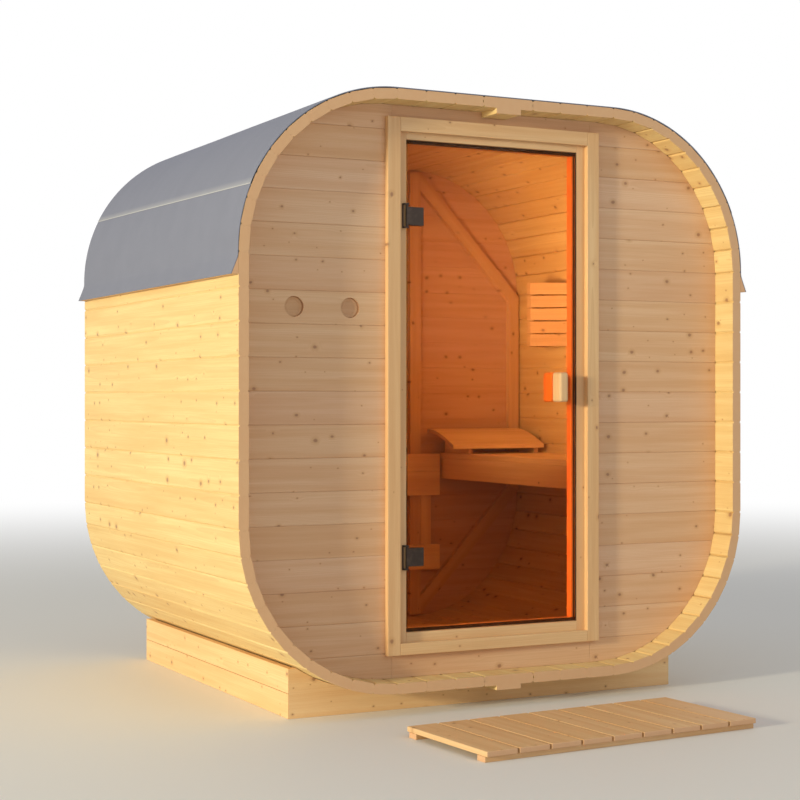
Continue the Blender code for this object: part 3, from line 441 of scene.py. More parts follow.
@dataclass(frozen=True)
class BronzeGlass(Finish):
    """Clear bronze glass that lets the lamps through in its own colour."""

    cast: Colour = (0.90, 0.38, 0.13, 1.0)
    bend: float = 1.13
    haze: float = 0.03

    def dress(self, sheet: Sheet, shader: bpy.types.Node) -> None:
        """Makes the pane clear, with a faint haze in its polish.

        Args:
            sheet: Node sheet of the material.
            shader: Its Principled node.
        """
        shader.inputs["Transmission Weight"].default_value = 1.0
        shader.inputs["IOR"].default_value = self.bend
        cloud = sheet.noise(sheet.place(), 9.0, 3.0)
        rough = cloud.ramp(0.45, 0.8, self.roughness, self.roughness + self.haze)
        sheet.link(rough, shader.inputs["Roughness"])
        lamp = sheet.node("ShaderNodeLightPath", output="Is Shadow Ray")
        sheet.blend(lamp, shader, sheet.node("ShaderNodeBsdfTransparent", {"Color": self.cast}))


@dataclass(frozen=True)
class PaleFloor(Finish):
    """Pale floor that fades into the white surroundings."""

    near: float = 3.0
    far: float = 13.0

    def dress(self, sheet: Sheet, shader: bpy.types.Node) -> None:
        """Lets the floor glow white to the eye, the further out the more.

        Args:
            sheet: Node sheet of the material.
            shader: Its Principled node.
        """
        away = sheet.node("ShaderNodeVectorMath", {0: sheet.place()}, "Value", operation="LENGTH")
        glow = sheet.node("ShaderNodeEmission", {"Color": (1.0, 1.0, 1.0, 1.0), "Strength": 1.0})
        sheet.blend(away.ramp(self.near, self.far) * sheet.seen(), shader, glow)


class Palette:
    """The finishes of the sauna and its floor."""

    STAVES = Spruce(
        "stave_spruce", "stave_wood", shade(229, 203, 144), 0.62, warm=shade(228, 192, 130), knot_size=0.0100
    )
    # Wall boards are pinker and less yellow than the stave spruce: painted shade, for the front wall lying in
    # shade.
    BOARDS_PAINTED_SHADE = Spruce("wall_spruce_painted_shade", "board_wood", shade(224, 184, 149), 0.64)
    PLUGS = Spruce("vent_disc_spruce", "board_wood", shade(200, 158, 124), 0.66)
    # Paler copy of the wall spruce on the plinth: painted light, for low sun and light thrown up from the
    # ground onto it.
    PLINTH_PAINTED_LIGHT = Spruce("plinth_spruce_painted_light", "board_wood", shade(242, 206, 154), 0.66)
    TRIM = Spruce("trim_spruce", "trim_wood", shade(226, 188, 140), 0.58, knot_share=0.24)
    # Paler copy of the trim spruce on the bench, cleats, headrest, rails and posts: painted light, for light
    # falling in through the glass door onto them.
    BENCH_PAINTED_LIGHT = Spruce(
        "bench_spruce_painted_light", "trim_wood", shade(254, 226, 176), 0.56, warm=shade(250, 216, 162),
        late=shade(228, 184, 130), knot_share=0.20,
    )
    FELT = RoofFelt("grey_roof_felt", "roof_sheet", shade(119, 123, 142), 0.86)
    METAL = Coated("dark_hinge_metal", "bronze_metal", shade(58, 47, 40), 0.42)
    RUBBER = Coated(
        "door_seal_rubber", "seal", shade(40, 34, 30), 0.72, worn=shade(78, 68, 60), wear=0.3, wear_start=0.4,
        clouds=30.0, grain=(800.0, 800.0, 800.0), detail=1.0, metallic=0.0, shine=0.2, relief=0.1,
    )
    GLASS = BronzeGlass("bronze_glass", "door_glass", (0.97, 0.59, 0.30, 1.0), 0.015)
    FLOOR = PaleFloor("pale_floor", "", shade(232, 231, 228), 0.7)


def rectangle(low: Flat, high: Flat) -> list[Flat]:
    """Gives the corners of an upright rectangle."""
    return [(low[0], low[1]), (high[0], low[1]), (high[0], high[1]), (low[0], high[1])]


def mirrored(outline: list[Flat]) -> list[Flat]:
    """Mirrors an outline from left to right."""
    return [(-across, up) for across, up in reversed(outline)]


def arc(centre: Flat, radius: float, first: float, last: float, steps: int) -> list[Flat]:
    """Follows an arc.

    Args:
        centre: Centre of the arc.
        radius: Its radius.
        first: First angle in degrees, from +X towards +Z.
        last: Last angle in degrees.
        steps: Number of straight steps.

    Returns:
        The points, both ends included.
    """
    turns = [math.radians(first + (last - first) * step / steps) for step in range(steps + 1)]
    return [(centre[0] + radius * math.cos(turn), centre[1] + radius * math.sin(turn)) for turn in turns]


def chance(first: float, second: float, third: float) -> float:
    """Gives a random number from 0 to 1 that follows from three others."""
    return noise.cell(Vector((first + 0.5, second + 0.5, third + 0.5))) * 0.5 + 0.5


def drawn_out(outline: list[Flat], axis: Axis, start: float, end: float) -> bmesh.types.BMesh:
    """Draws an outline out along an axis into a closed solid.

    Args:
        outline: Corners in the plane across the axis.
        axis: Axis that it is drawn along.
        start: Place of the first end.
        end: Place of the other end.

    Returns:
        The solid.
    """
    shape = bmesh.new()
    corners = [shape.verts.new(axis.place(first, second, start)) for first, second in outline]
    grown = bmesh.ops.extrude_face_region(shape, geom=[shape.faces.new(corners)])
    moved = [item for item in grown["geom"] if isinstance(item, bmesh.types.BMVert)]
    bmesh.ops.translate(shape, verts=moved, vec=axis.way * (end - start))
    bmesh.ops.recalc_face_normals(shape, faces=shape.faces)
    return shape


def sliced(shape: bmesh.types.BMesh, start: Vector, out: Vector) -> None:
    """Cuts away what lies outside of a plane and closes the cut."""
    whole = [*shape.verts, *shape.edges, *shape.faces]
    bmesh.ops.bisect_plane(shape, geom=whole, dist=CUT_SLACK, plane_co=start, plane_no=out, clear_outer=True)
    bmesh.ops.holes_fill(shape, edges=[edge for edge in shape.edges if edge.is_boundary], sides=0)


def trimmed(shape: bmesh.types.BMesh, outline: list[Flat]) -> None:
    """Cuts a board to an outline.

    Args:
        shape: The board.
        outline: A convex X-Z outline.
    """
    corners = [Vector((across, 0.0, up)) for across, up in outline]
    middle = sum(corners, Vector()) / len(corners)
    for step, start in enumerate(corners):
        edge = start - corners[step - 1]
        if edge.length < 1e-6:
            continue
        out = edge.cross(Axis.Y.way).normalized()
        sliced(shape, start, -out if out.dot(middle - start) > 0.0 else out)


def eased(
    shape: bmesh.types.BMesh, width: float, segments: int = 2, least: float = 30.0,
    chosen: Callable[[Vector], bool] | None = None,
) -> None:
    """Rounds the edges of a solid that turn by more than a few degrees.

    Args:
        shape: The solid.
        width: Width of the rounding.
        segments: Number of steps in it.
        least: Smallest turn that is rounded, in degrees.
        chosen: Tells from an edge's middle whether it is rounded, or none for all of them.
    """
    limit = math.radians(least)
    sharp = [edge for edge in shape.edges if edge.calc_face_angle(0.0) > limit]
    if chosen:
        sharp = [edge for edge in sharp if chosen((edge.verts[0].co + edge.verts[1].co) / 2)]
    bmesh.ops.bevel(
        shape, geom=sharp, offset=width, offset_type="OFFSET", segments=segments, profile=0.5,
        affect="EDGES", clamp_overlap=True,
    )


def stored(shape: bmesh.types.BMesh, mesh: bpy.types.Mesh) -> bpy.types.Mesh:
    """Puts a solid into a mesh, frees the solid and gives the mesh."""
    shape.to_mesh(mesh)
    shape.free()
    return mesh


def new_object(name: str, mesh: bpy.types.Mesh) -> bpy.types.Object:
    """Links a mesh as an object at the origin."""
    made = bpy.data.objects.new(name, mesh)
    bpy.context.scene.collection.objects.link(made)
    return made


def evaluated(made: bpy.types.Object) -> bpy.types.Mesh:
    """Copies an object's mesh as its modifiers leave it."""
    seen = bpy.context.evaluated_depsgraph_get()
    source = made.evaluated_get(seen)
    return bpy.data.meshes.new_from_object(source, preserve_all_data_layers=True, depsgraph=seen)


def fitted(mesh: bpy.types.Mesh, name: str, finish: Finish, *nodes: str, body: Body = Body.CABIN) -> None:
    """Makes a mesh a finished piece of the sauna.

    Args:
        mesh: Mesh of the piece, in place.
        name: Name of the piece.
        finish: Its finish.
        nodes: Solids that the piece stands for.
        body: Body that carries it.
    """
    if not mesh.materials:
        mesh.materials.append(finish.material)
    mesh.shade_smooth()
    mesh.set_sharp_from_angle(angle=math.radians(SHARP_TURN))
    piece = new_object(name, mesh)
    even = piece.modifiers.new("even_normals", "WEIGHTED_NORMAL")
    even.mode = "FACE_AREA"
    even.weight = 100
    even.keep_sharp = True
    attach(piece, body.value)
    if nodes:
        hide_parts(*nodes)
    LOG.info("%s: %d faces, for %s", name, len(mesh.polygons), ", ".join(nodes) or "no solid")


@dataclass
class Timber:
    """A growing set of boards that becomes one piece, each with its own grain.

    The seed is the number that the boards' random numbers follow from, and the ease
    is the rounding of their edges. The rest fills up as boards are added.
    """

    seed: int
    ease: float = SOFT_EDGE
    count: int = 0
    points: list[Vector] = field(default_factory=list)
    faces: list[list[int]] = field(default_factory=list)
    grain: list[Vector] = field(default_factory=list)
    numbers: list[float] = field(default_factory=list)
    ends: list[float] = field(default_factory=list)

    def draw(self) -> float:
        """Gives the next board's random number."""
        self.count += 1
        return chance(self.seed * 3.7, self.count * 1.9, 7.0)

    def add(
        self, shape: bmesh.types.BMesh, along: Vector, through: Vector, number: float | None = None,
        heart: Vector | None = None,
    ) -> None:
        """Adds a finished solid as one board.

        Args:
            shape: The solid, which is used up.
            along: Direction of its grain.
            through: Direction through its thickness.
            number: Its random number, or none for the next one.
            heart: A point on the board's middle line, or none for the middle of its corners.
        """
        value = self.draw() if number is None else number
        first = len(self.points)
        middle = heart or sum((point.co for point in shape.verts), Vector()) / len(shape.verts)
        across = through.cross(along)
        for point in shape.verts:
            reach = point.co - middle
            self.points.append(point.co.copy())
            self.grain.append(Vector((point.co.dot(along), reach.dot(across), reach.dot(through))))
            self.numbers.append(value)
        shape.verts.index_update()
        for face in shape.faces:
            self.faces.append([first + point.index for point in face.verts])
            self.ends.append(1.0 if abs(face.normal.dot(along)) > 0.8 else 0.0)
        shape.free()

    def plank(
        self, low: Spot, high: Spot, along: Axis, ease: float | None = None, segments: int = 2,
        number: float | None = None,
    ) -> None:
        """Adds a straight board.

        Args:
            low: Its lowest corner.
            high: Its highest corner.
            along: Direction of its grain.
            ease: Rounding of its edges, or none for the usual one.
            segments: Number of steps in the rounding.
            number: Its random number, or none for the next one.
        """
        shape = drawn_out(rectangle(low[:2], high[:2]), Axis.Z, low[2], high[2])
        eased(shape, self.ease if ease is None else ease, segments)
        sizes = {axis: high[step] - low[step] for step, axis in enumerate(Axis) if axis is not along}
        self.add(shape, along.way, min(sizes, key=sizes.get).way, number)

    def prism(
        self, outline: list[Flat], axis: Axis, start: float, end: float, along: Vector, through: Vector,
        ease: float | None = None,
    ) -> None:
        """Adds a board with a drawn outline.

        Args:
            outline: Corners of the outline.
            axis: Axis that it is drawn out along.
            start: Place of its first end.
            end: Place of its other end.
            along: Direction of its grain.
            through: Direction through its thickness.
            ease: Rounding of its edges, or none for the usual one.
        """
        shape = drawn_out(outline, axis, start, end)
        eased(shape, self.ease if ease is None else ease)
        self.add(shape, along, through)

    def turn(self, angle: float, centre: Vector) -> None:
        """Turns the boards about an upright line, with their grain."""
        spin = Matrix.Rotation(angle, 3, "Z")
        self.points = [spin @ (spot - centre) + centre for spot in self.points]

    def mesh(self, name: str, numbered: bool = True) -> bpy.types.Mesh:
        """Turns the boards into a mesh.

        Args:
            name: Name of the mesh.
            numbered: Whether each point keeps its board's random number.

        Returns:
            The mesh with the attributes that the wood reads.
        """
        made = bpy.data.meshes.new(name)
        made.from_pydata(self.points, [], self.faces)
        grain = made.attributes.new("grain", "FLOAT_VECTOR", "POINT")
        grain.data.foreach_set("vector", [part for spot in self.grain for part in spot])
        if numbered:
            made.attributes.new("board", "FLOAT", "POINT").data.foreach_set("value", self.numbers)
        made.attributes.new("end_grain", "FLOAT", "FACE").data.foreach_set("value", self.ends)
        made.update()
        return made

    def piece(self, name: str, finish: Finish, *nodes: str, body: Body = Body.CABIN) -> None:
        """Turns the boards into a finished piece that stands for some solids."""
        fitted(self.mesh(name), name, finish, *nodes, body=body)


class BoardRow:
    """Geometry Nodes rule that repeats a board along a line or round a corner."""

    SOCKETS = {
        "Board": "Geometry", "Count": "Int", "Pivot": "Vector", "Step": "Vector", "Turn": "Float",
        "Seed": "Int", "Finish": "Material",
    }

    @cached_property
    def tree(self) -> bpy.types.NodeTree:
        """Builds the node tree once."""
        tree = bpy.data.node_groups.new("row_of_boards", "GeometryNodeTree")
        tree.is_modifier = True
        for name, kind in self.SOCKETS.items():
            tree.interface.new_socket(name, in_out="INPUT", socket_type=f"NodeSocket{kind}")
        tree.interface.new_socket("Boards", in_out="OUTPUT", socket_type="NodeSocketGeometry")
        sheet = Sheet(tree)
        given = sheet.node("NodeGroupInput", output="Board")
        index = sheet.node("GeometryNodeInputIndex")
        moved = sheet.node("ShaderNodeVectorMath", {0: given.out("Step"), "Scale": index}, operation="SCALE")
        spots = sheet.node("ShaderNodeVectorMath", {0: moved, 1: given.out("Pivot")}, operation="ADD")
        points = sheet.node("GeometryNodePoints", {"Count": given.out("Count"), "Position": spots})
        turned = sheet.vector(0.0, index * given.out("Turn"), 0.0)
        placed = sheet.node(
            "GeometryNodeInstanceOnPoints", {"Points": points, "Instance": given, "Rotation": turned}
        )
        number = sheet.node("FunctionNodeRandomValue", {"Seed": given.out("Seed")}, 1, data_type="FLOAT")
        numbered = sheet.node(
            "GeometryNodeStoreNamedAttribute", {"Geometry": placed, "Name": "board", "Value": number},
            data_type="FLOAT", domain="INSTANCE",
        )
        real = sheet.node("GeometryNodeRealizeInstances", {0: numbered})
        dressed = sheet.node("GeometryNodeSetMaterial", {"Geometry": real, "Material": given.out("Finish")})
        sheet.node("NodeGroupOutput", {0: dressed})
        return tree

    def lay(
        self, board: bpy.types.Mesh, name: str, finish: Finish, node: str, count: int, seed: int,
        step: Spot, pivot: Spot = (0.0, 0.0, 0.0), turn: float = 0.0,
    ) -> None:
        """Repeats a board and makes the row a finished piece.

        Args:
            board: Mesh of one board, about its pivot.
            name: Name of the piece.
            finish: Finish of the boards.
            node: Solid that the row stands for.
            count: Number of boards.
            seed: Seed of the boards' random numbers.
            step: Way from one board to the next.
            pivot: Place of the first board.
            turn: Turn from one board to the next, in radians.
        """
        holder = new_object("row_in_work", board)
        rule = holder.modifiers.new("row", "NODES")
        rule.node_group = self.tree
        sockets = self.tree.interface.items_tree
        known = {item.name: item.identifier for item in sockets if item.in_out == "INPUT"}
        given = (count, pivot, step, turn, seed, finish.material)
        for socket, value in zip(list(self.SOCKETS)[1:], given):
            rule[known[socket]] = value
        made = evaluated(holder)
        holder.modifiers.clear()
        bpy.data.objects.remove(holder, do_unlink=True)
        bpy.data.meshes.remove(board)
        fitted(made, name, finish, node)


ROW = BoardRow()


@dataclass
class Shell:
    """The shared sizes of the barrel's cross-section.

    The corners' centres lie arc_x from the middle and arc_z over or under it, and
    inner_x and inner_z are half of the width and the height inside.
    """

    thickness: float = 0.038
    pitch: float = 0.117
    side_staves: int = 8
    top_staves: int = 3
    corner_staves: int = 10
    radius: float = 0.595
    flange: float = 0.207
    web: float = 0.102
    ridge_drop: float = 0.020
    keel_drop: float = 0.017
    length: float = 1.78
    clearance: float = 0.0805

    def __post_init__(self) -> None:
        """Works out the sizes that follow from the others."""
        self.arc_x = self.flange / 2 + self.top_staves * self.pitch
        self.arc_z = self.side_staves * self.pitch / 2
        self.half_width = self.arc_x + self.radius
        self.half_height = self.arc_z + self.radius
        self.centre = self.clearance + self.half_height
        self.inner_x = self.half_width - self.thickness
        self.inner_z = self.half_height - self.thickness

    def inside(self) -> list[Flat]:
        """Gives the inside outline of the whole barrel, with its flat facets."""
        line: list[Flat] = []
        radius = self.radius - self.thickness - SEAT
        for corner in range(4):
            across = self.arc_x if corner in (0, 3) else -self.arc_x
            up = self.arc_z if corner in (0, 1) else -self.arc_z
            first = corner * 90.0
            line += arc((across, self.centre + up), radius, first, first + 90.0, self.corner_staves)
        return line


SHELL = Shell()


@dataclass
class Run:
    """One run of like staves that a solid of the model holds."""

    name: str
    pivot: Flat
    outward: float
    reach: float
    count: int
    step: Flat
    turn: float
    outer: float
    inner: float
    depth: float

    def mirrored(self) -> "Run":
        """Gives the same run on the right."""
        return replace(
            self, name=self.name.replace("left", "right"), pivot=(-self.pivot[0], self.pivot[1]),
            outward=180.0 - self.outward, step=(-self.step[0], self.step[1]), turn=-self.turn,
        )


@dataclass
class Barrel:
    """The staves of the barrel, its ridge and its keel."""

    chamfer: float = 0.0062
    chamfer_depth: float = 0.0044
    inner_chamfer: float = 0.0066
    inner_chamfer_depth: float = 0.0052
    joint: float = 0.00004
    tongue: float = 0.0035
    tongue_span: Flat = (0.38, 0.62)
    taper: float = 0.001
    ease: float = 0.0008
    first_seed: int = 3
    beam_seed: int = 41

    def section(self, outer: float, inner: float, depth: float) -> list[Flat]:
        """Gives the cross-section of one stave, with a tongue, a groove and eased joints.

        Args:
            outer: Width of its outside face.
            inner: Width of its inside face.
            depth: Its thickness.

        Returns:
            Points as distance across and distance from the inside face.
        """
        def side(up: float, sign: float, inset: float = 0.0) -> Flat:
            """Gives a point on one of the slanted sides."""
            half = (inner + (outer - inner) * up / depth) / 2 - self.joint - inset
            return (sign * half, up)

        cut, dip = self.chamfer, self.chamfer_depth
        wide, rise = self.inner_chamfer, self.inner_chamfer_depth
        low, high = (depth * share for share in self.tongue_span)
        right = [
            side(0.0, 1.0, wide), side(rise, 1.0), side(low, 1.0), side(low + self.taper, 1.0, -self.tongue),
            side(high - self.taper, 1.0, -self.tongue), side(high, 1.0), side(depth - dip, 1.0),
            side(depth, 1.0, cut),
        ]
        deep = self.tongue + self.joint
        left = [
            side(depth, -1.0, cut), side(depth - dip, -1.0), side(high, -1.0), side(high, -1.0, deep),
            side(low, -1.0, deep), side(low, -1.0), side(rise, -1.0), side(0.0, -1.0, wide),
        ]
        return right + left

    def stave(self, run: Run) -> bpy.types.Mesh:
        """Makes the first stave of a run.

        Args:
            run: The run.

        Returns:
            The stave's mesh, about the run's pivot.
        """
        angle = math.radians(run.outward)
        out = Vector((math.cos(angle), 0.0, math.sin(angle)))
        across = Vector((-math.sin(angle), 0.0, math.cos(angle)))
        section = self.section(run.outer, run.inner, run.depth)
        spots = [across * over + out * (run.reach + up) for over, up in section]
        shape = drawn_out([(spot.x, spot.z) for spot in spots], Axis.Y, FRONT_Y, FRONT_Y + SHELL.length)
        faces = (run.reach, run.reach + run.depth)
        eased(shape, self.ease, 2, 40.0, lambda spot: min(abs(spot.dot(out) - face) for face in faces) < SEAT)
        timber = Timber(1)
        timber.add(shape, Axis.Y.way, out)
        return timber.mesh("stave", numbered=False)

    def runs(self) -> list[Run]:
        """Lists the runs of staves on both halves of the barrel."""
        shell = SHELL
        half = 90.0 / shell.corner_staves / 2
        ease = math.cos(math.radians(half))
        chord = 2 * math.sin(math.radians(half))
        inner = shell.radius - shell.thickness
        low, high = shell.centre - shell.arc_z, shell.centre + shell.arc_z
        top = (-shell.arc_x + shell.pitch / 2, shell.centre)
        level = (shell.top_staves, (shell.pitch, 0.0), 0.0, shell.pitch, shell.pitch, shell.thickness)
        upright = (shell.side_staves, (0.0, shell.pitch), 0.0, shell.pitch, shell.pitch, shell.thickness)
        bent = (
            inner * ease, shell.corner_staves, (0.0, 0.0), -math.radians(half * 2), shell.radius * chord,
            inner * chord, shell.thickness * ease,
        )
        left = [
            Run("left_side", (0.0, low + shell.pitch / 2), 180.0, shell.inner_x, *upright),
            Run("left_top", top, 90.0, shell.inner_z, *level),
            Run("left_floor", top, 270.0, shell.inner_z, *level),
            Run("left_upper_corner", (-shell.arc_x, high), 90.0 + half, *bent),
            Run("left_lower_corner", (-shell.arc_x, low), 180.0 + half, *bent),
        ]
        return left + [run.mirrored() for run in left]

    def beam(self, name: str, top: float, bottom: float, drop: float) -> None:
        """Makes the T-shaped stave at the top or the bottom.

        Args:
            name: What the stave is, ridge or keel.
            top: Height of the flange's upper face.
            bottom: Height of the flange's lower face.
            drop: How far the web hangs under the flange.
        """
        wide = SHELL.flange / 2 - self.joint
        web = SHELL.web / 2
        cut = self.chamfer
        outline = [
            (-wide, top - cut), (-wide + cut, top), (wide - cut, top), (wide, top - cut),
            (wide, bottom + cut), (wide - cut, bottom), (web, bottom), (web, bottom - drop),
            (-web, bottom - drop), (-web, bottom), (-wide + cut, bottom), (-wide, bottom + cut),
        ]
        timber = Timber(self.beam_seed, FINE_EDGE)
        timber.prism(outline, Axis.Y, FRONT_Y, FRONT_Y + SHELL.length, Axis.Y.way, Axis.Z.way)
        timber.piece(f"{name}_stave", Palette.STAVES, f"hull_{name}")

    def build(self) -> None:
        """Builds every run, then the ridge and the keel."""
        for seed, run in enumerate(self.runs(), self.first_seed):
            ROW.lay(
                self.stave(run), f"{run.name}_staves", Palette.STAVES, f"hull_{run.name}", run.count, seed,
                (run.step[0], 0.0, run.step[1]), (run.pivot[0], 0.0, run.pivot[1]), run.turn,
            )
        shell = SHELL
        middle = shell.centre
        self.beam("ridge", middle + shell.half_height, middle + shell.inner_z, shell.ridge_drop)
        self.beam("keel", middle - shell.inner_z, middle - shell.half_height, shell.keel_drop)


@dataclass
class Doorway:
    """Sizes of the doorway and its frame, from the middle of the door.

    The rebate holds the leaf, casing and head run from their inner to their outer edge,
    and cut_half, cut_top and cut_low are the edges of the hole in the wall.
    """

    leaf_half: float = 0.357
    leaf_low: float = 0.283
    leaf_top: float = 2.043
    gap: float = 0.005
    face: float = 0.034
    head_face: float = 0.025
    casing: float = 0.051
    proud: float = 0.024
    lap: float = 0.027
    sill_face: float = 0.035
    sill_casing: float = 0.042
    depth: float = 0.050
    stop_lap: float = 0.013
    wall: float = 0.110
    stop: float = 0.1293

    def __post_init__(self) -> None:
        """Works out the edges that follow from the sizes."""
        self.rebate = self.leaf_half + self.gap
        self.rebate_top = self.leaf_top + self.gap
        self.sill_top = self.leaf_low - self.gap
        self.casing_inner = self.rebate + self.face
        self.casing_outer = self.casing_inner + self.casing
        self.head_inner = self.rebate_top + self.head_face
        self.head_outer = self.head_inner + self.casing
        self.sill_edge = self.sill_top - self.sill_face
        self.bottom = self.sill_edge - self.sill_casing
        self.cut_half = self.casing_outer - self.lap
        self.cut_top = self.head_outer - self.lap
        self.cut_low = self.bottom + self.lap


DOORWAY = Doorway()


@dataclass
class EndWalls:
    """The boarded walls at the front and the back, and the vents."""

    thickness: float = 0.038
    front: float = 0.110
    chamfer: float = 0.0022
    chamfer_rise: float = 0.0034
    joint: float = 0.0001
    tongue_span: Flat = (0.013, 0.025)
    tongue_draw: Flat = (0.0006, 0.001)
    groove: float = 0.0045
    tongue: float = 0.0040
    sliver: float = 0.002
    overhang: float = 0.01
    ease: float = 0.0005
    over_ease: float = 0.0008
    panel_joint: float = 1.6075
    panel_gap: float = 0.0002
    vent_radius: float = 0.036
    vent_height: float = 1.438
    vents: dict[str, float] = field(default_factory=lambda: {"outer": -0.80, "inner": -0.585})
    vent_steps: int = 48
    bore_past: float = 0.02
    recess: float = 0.009

    @property
    def back(self) -> float:
        """Gives the inside face of the back wall."""
        return SHELL.length - self.front - self.thickness

    def board(self, low: float, high: float, near: float, left: float, right: float) -> bmesh.types.BMesh:
        """Makes one horizontal board with a tongue on top and a groove below.

        Args:
            low: Height of the joint under it.
            high: Height of the joint over it.
            near: Y of its front face.
            left: X of its left end.
            right: X of its right end.

        Returns:
            The board.
        """
        cut, rise = self.chamfer, self.chamfer_rise
        far = near + self.thickness
        first, second = (near + depth for depth in self.tongue_span)
        root, tip = self.tongue_draw
        bottom, top = low + self.joint, high - self.joint
        profile = [
            (near, bottom + rise), (near + cut, bottom), (first, bottom), (first, bottom + self.groove),
            (second, bottom + self.groove), (second, bottom), (far - cut, bottom), (far, bottom + rise),
            (far, top - rise), (far - cut, top), (second - root, top), (second - tip, top + self.tongue),
            (first + tip, top + self.tongue), (first + root, top), (near + cut, top), (near, top - rise),
        ]
        return drawn_out(profile, Axis.X, left, right)

    def wall(self, name: str, node: str, outline: list[Flat], near: float, seed: int) -> None:
        """Lays the boards of one wall and trims them to its outline.

        Args:
            name: Name of the piece.
            node: Solid that it stands for.
            outline: X-Z outline of the wall.
            near: Y of its front face, from the rim.
            seed: Seed of the boards' random numbers.
        """
        low, high = (pick(up for _, up in outline) for pick in (min, max))
        left, right = (pick(across for across, _ in outline) for pick in (min, max))
        timber = Timber(seed)
        courses = SHELL.side_staves + 4
        for step in range(-courses, courses + 1):
            bottom = self.joint_height(step, near)
            top = self.joint_height(step + 1, near)
            if top < low + self.sliver or bottom > high - self.sliver:
                continue
            shape = self.board(bottom, top, FRONT_Y + near, left - self.overhang, right + self.overhang)
            trimmed(shape, outline)
            if len(shape.faces) < 4:
                shape.free()
                continue
            eased(shape, self.ease, 1, 40.0)
            if node == "front_wall_left" and bottom < self.vent_height < top:
                shape = self.drilled(shape)
            bmesh.ops.recalc_face_normals(shape, faces=shape.faces)
            heart = Vector((0.0, FRONT_Y + near + self.thickness / 2, (bottom + top) / 2))
            timber.add(shape, Axis.X.way, Axis.Y.way, chance(near * 9.0, step * 2.3, 3.0), heart)
        timber.piece(name, Palette.BOARDS_PAINTED_SHADE, node)

    def joint_height(self, step: int, near: float) -> float:
        """Gives the height of a joint between boards, or of the one between the back wall's panels."""
        height = SHELL.centre + step * SHELL.pitch
        meets = near == self.back and abs(height - self.panel_joint) < self.overhang
        return self.panel_joint if meets else height

    def drilled(self, shape: bmesh.types.BMesh) -> bmesh.types.BMesh:
        """Bores the two vents through a board.

        Args:
            shape: The board, which is used up.

        Returns:
            The bored board.
        """
        board = new_object("board_in_work", stored(shape, bpy.data.meshes.new("drilled_board")))
        drills = []
        near = FRONT_Y + self.front
        ends = (near - self.bore_past, near + self.thickness + self.bore_past)
        for place in self.vents.values():
            cutter = drawn_out(self.ring(place, self.vent_radius), Axis.Y, *ends)
            drill = new_object("drill", stored(cutter, bpy.data.meshes.new("bore")))
            cut = board.modifiers.new("bore", "BOOLEAN")
            cut.operation = "DIFFERENCE"
            cut.object = drill
            cut.solver = "EXACT"
            drills.append(drill)
        made = bmesh.new()
        made.from_mesh(evaluated(board))
        for used in (board, *drills):
            bpy.data.objects.remove(used, do_unlink=True)
        return made

    def ring(self, place: float, reach: float) -> list[Flat]:
        """Gives the points of a circle about a vent's middle."""
        steps = self.vent_steps
        return arc((place, self.vent_height), reach, 0.0, 360.0 - 360.0 / steps, steps - 1)

    def plug(self, name: str, place: float, seed: int) -> None:
        """Makes one wooden vent plug with a shallow dish in its face.

        Args:
            name: Which plug it is, outer or inner.
            place: X of its middle.
            seed: Seed of its random number.
        """
        near = FRONT_Y + self.front + self.recess
        far = FRONT_Y + self.front + self.thickness
        radius = self.vent_radius - SEAT
        profile = [
            (0.0, near + 0.0045), (radius * 0.60, near + 0.0042), (radius * 0.72, near + 0.0030),
            (radius * 0.78, near + 0.0006), (radius * 0.84, near), (radius - 0.0022, near),
            (radius - 0.0006, near + 0.0007), (radius, near + 0.0024), (radius, far - 0.001),
            (radius - 0.001, far), (0.0, far),
        ]
        shape = bmesh.new()
        rings = []
        for reach, depth in profile:
            ring = self.ring(place, reach) if reach else [(place, self.vent_height)]
            rings.append([shape.verts.new((across, depth, up)) for across, up in ring])
        for inner, outer in zip(rings, rings[1:]):
            for step in range(self.vent_steps):
                ahead = (step + 1) % self.vent_steps
                corners = [inner[step % len(inner)], inner[ahead % len(inner)]]
                corners += [outer[ahead % len(outer)], outer[step % len(outer)]]
                shape.faces.new(list(dict.fromkeys(corners)))
        bmesh.ops.recalc_face_normals(shape, faces=shape.faces)
        timber = Timber(seed)
        timber.add(shape, Axis.X.way, Axis.Y.way)
        timber.piece(f"vent_disc_{name}", Palette.PLUGS, f"vent_plug_{name}")

    def build(self) -> None:
        """Builds the front wall round the doorway, its vents and the back wall."""
        shell, door = SHELL, DOORWAY
        inside = shell.inside()
        cut = door.cut_half
        top = shell.centre + shell.inner_z - SEAT
        low = shell.centre - shell.inner_z + SEAT
        left = [(-cut, top), *(spot for spot in inside if spot[0] < -cut - SEAT), (-cut, low)]
        self.wall("front_boards_left", "front_wall_left", left, self.front, 5)
        self.wall("front_boards_right", "front_wall_right", mirrored(left), self.front, 6)
        side = cut - SEAT
        web = shell.web / 2 + SEAT
        drop = top - shell.ridge_drop
        over = [
            (-side, door.cut_top), (side, door.cut_top), (side, top), (web, top),
            (web, drop), (-web, drop), (-web, top), (-side, top),
        ]
        timber = Timber(7, self.over_ease)
        near = FRONT_Y + self.front
        timber.prism(over, Axis.Y, near, near + self.thickness, Axis.X.way, Axis.Y.way)
        timber.piece("board_over_door", Palette.BOARDS_PAINTED_SHADE, "front_wall_over_door")
        under = rectangle((-side, low), (side, door.cut_low))
        self.wall("boards_under_door", "front_wall_under_door", under, self.front, 8)
        for seed, (name, place) in enumerate(self.vents.items(), 9):
            self.plug(name, place, seed)
        wide = shell.inner_x - SEAT
        joint = self.panel_joint + self.panel_gap
        upper = [spot for spot in inside if spot[1] > self.panel_joint + self.sliver]
        upper = [(wide, joint), *upper, (-wide, joint)]
        self.wall("back_boards_upper", "back_wall_upper", upper, self.back, 11)
        joint = self.panel_joint - self.panel_gap
        lower = [spot for spot in inside if spot[1] < self.panel_joint - self.sliver]
        lower = [(-wide, joint), *lower, (wide, joint)]
        self.wall("back_boards_lower", "back_wall_lower", lower, self.back, 12)


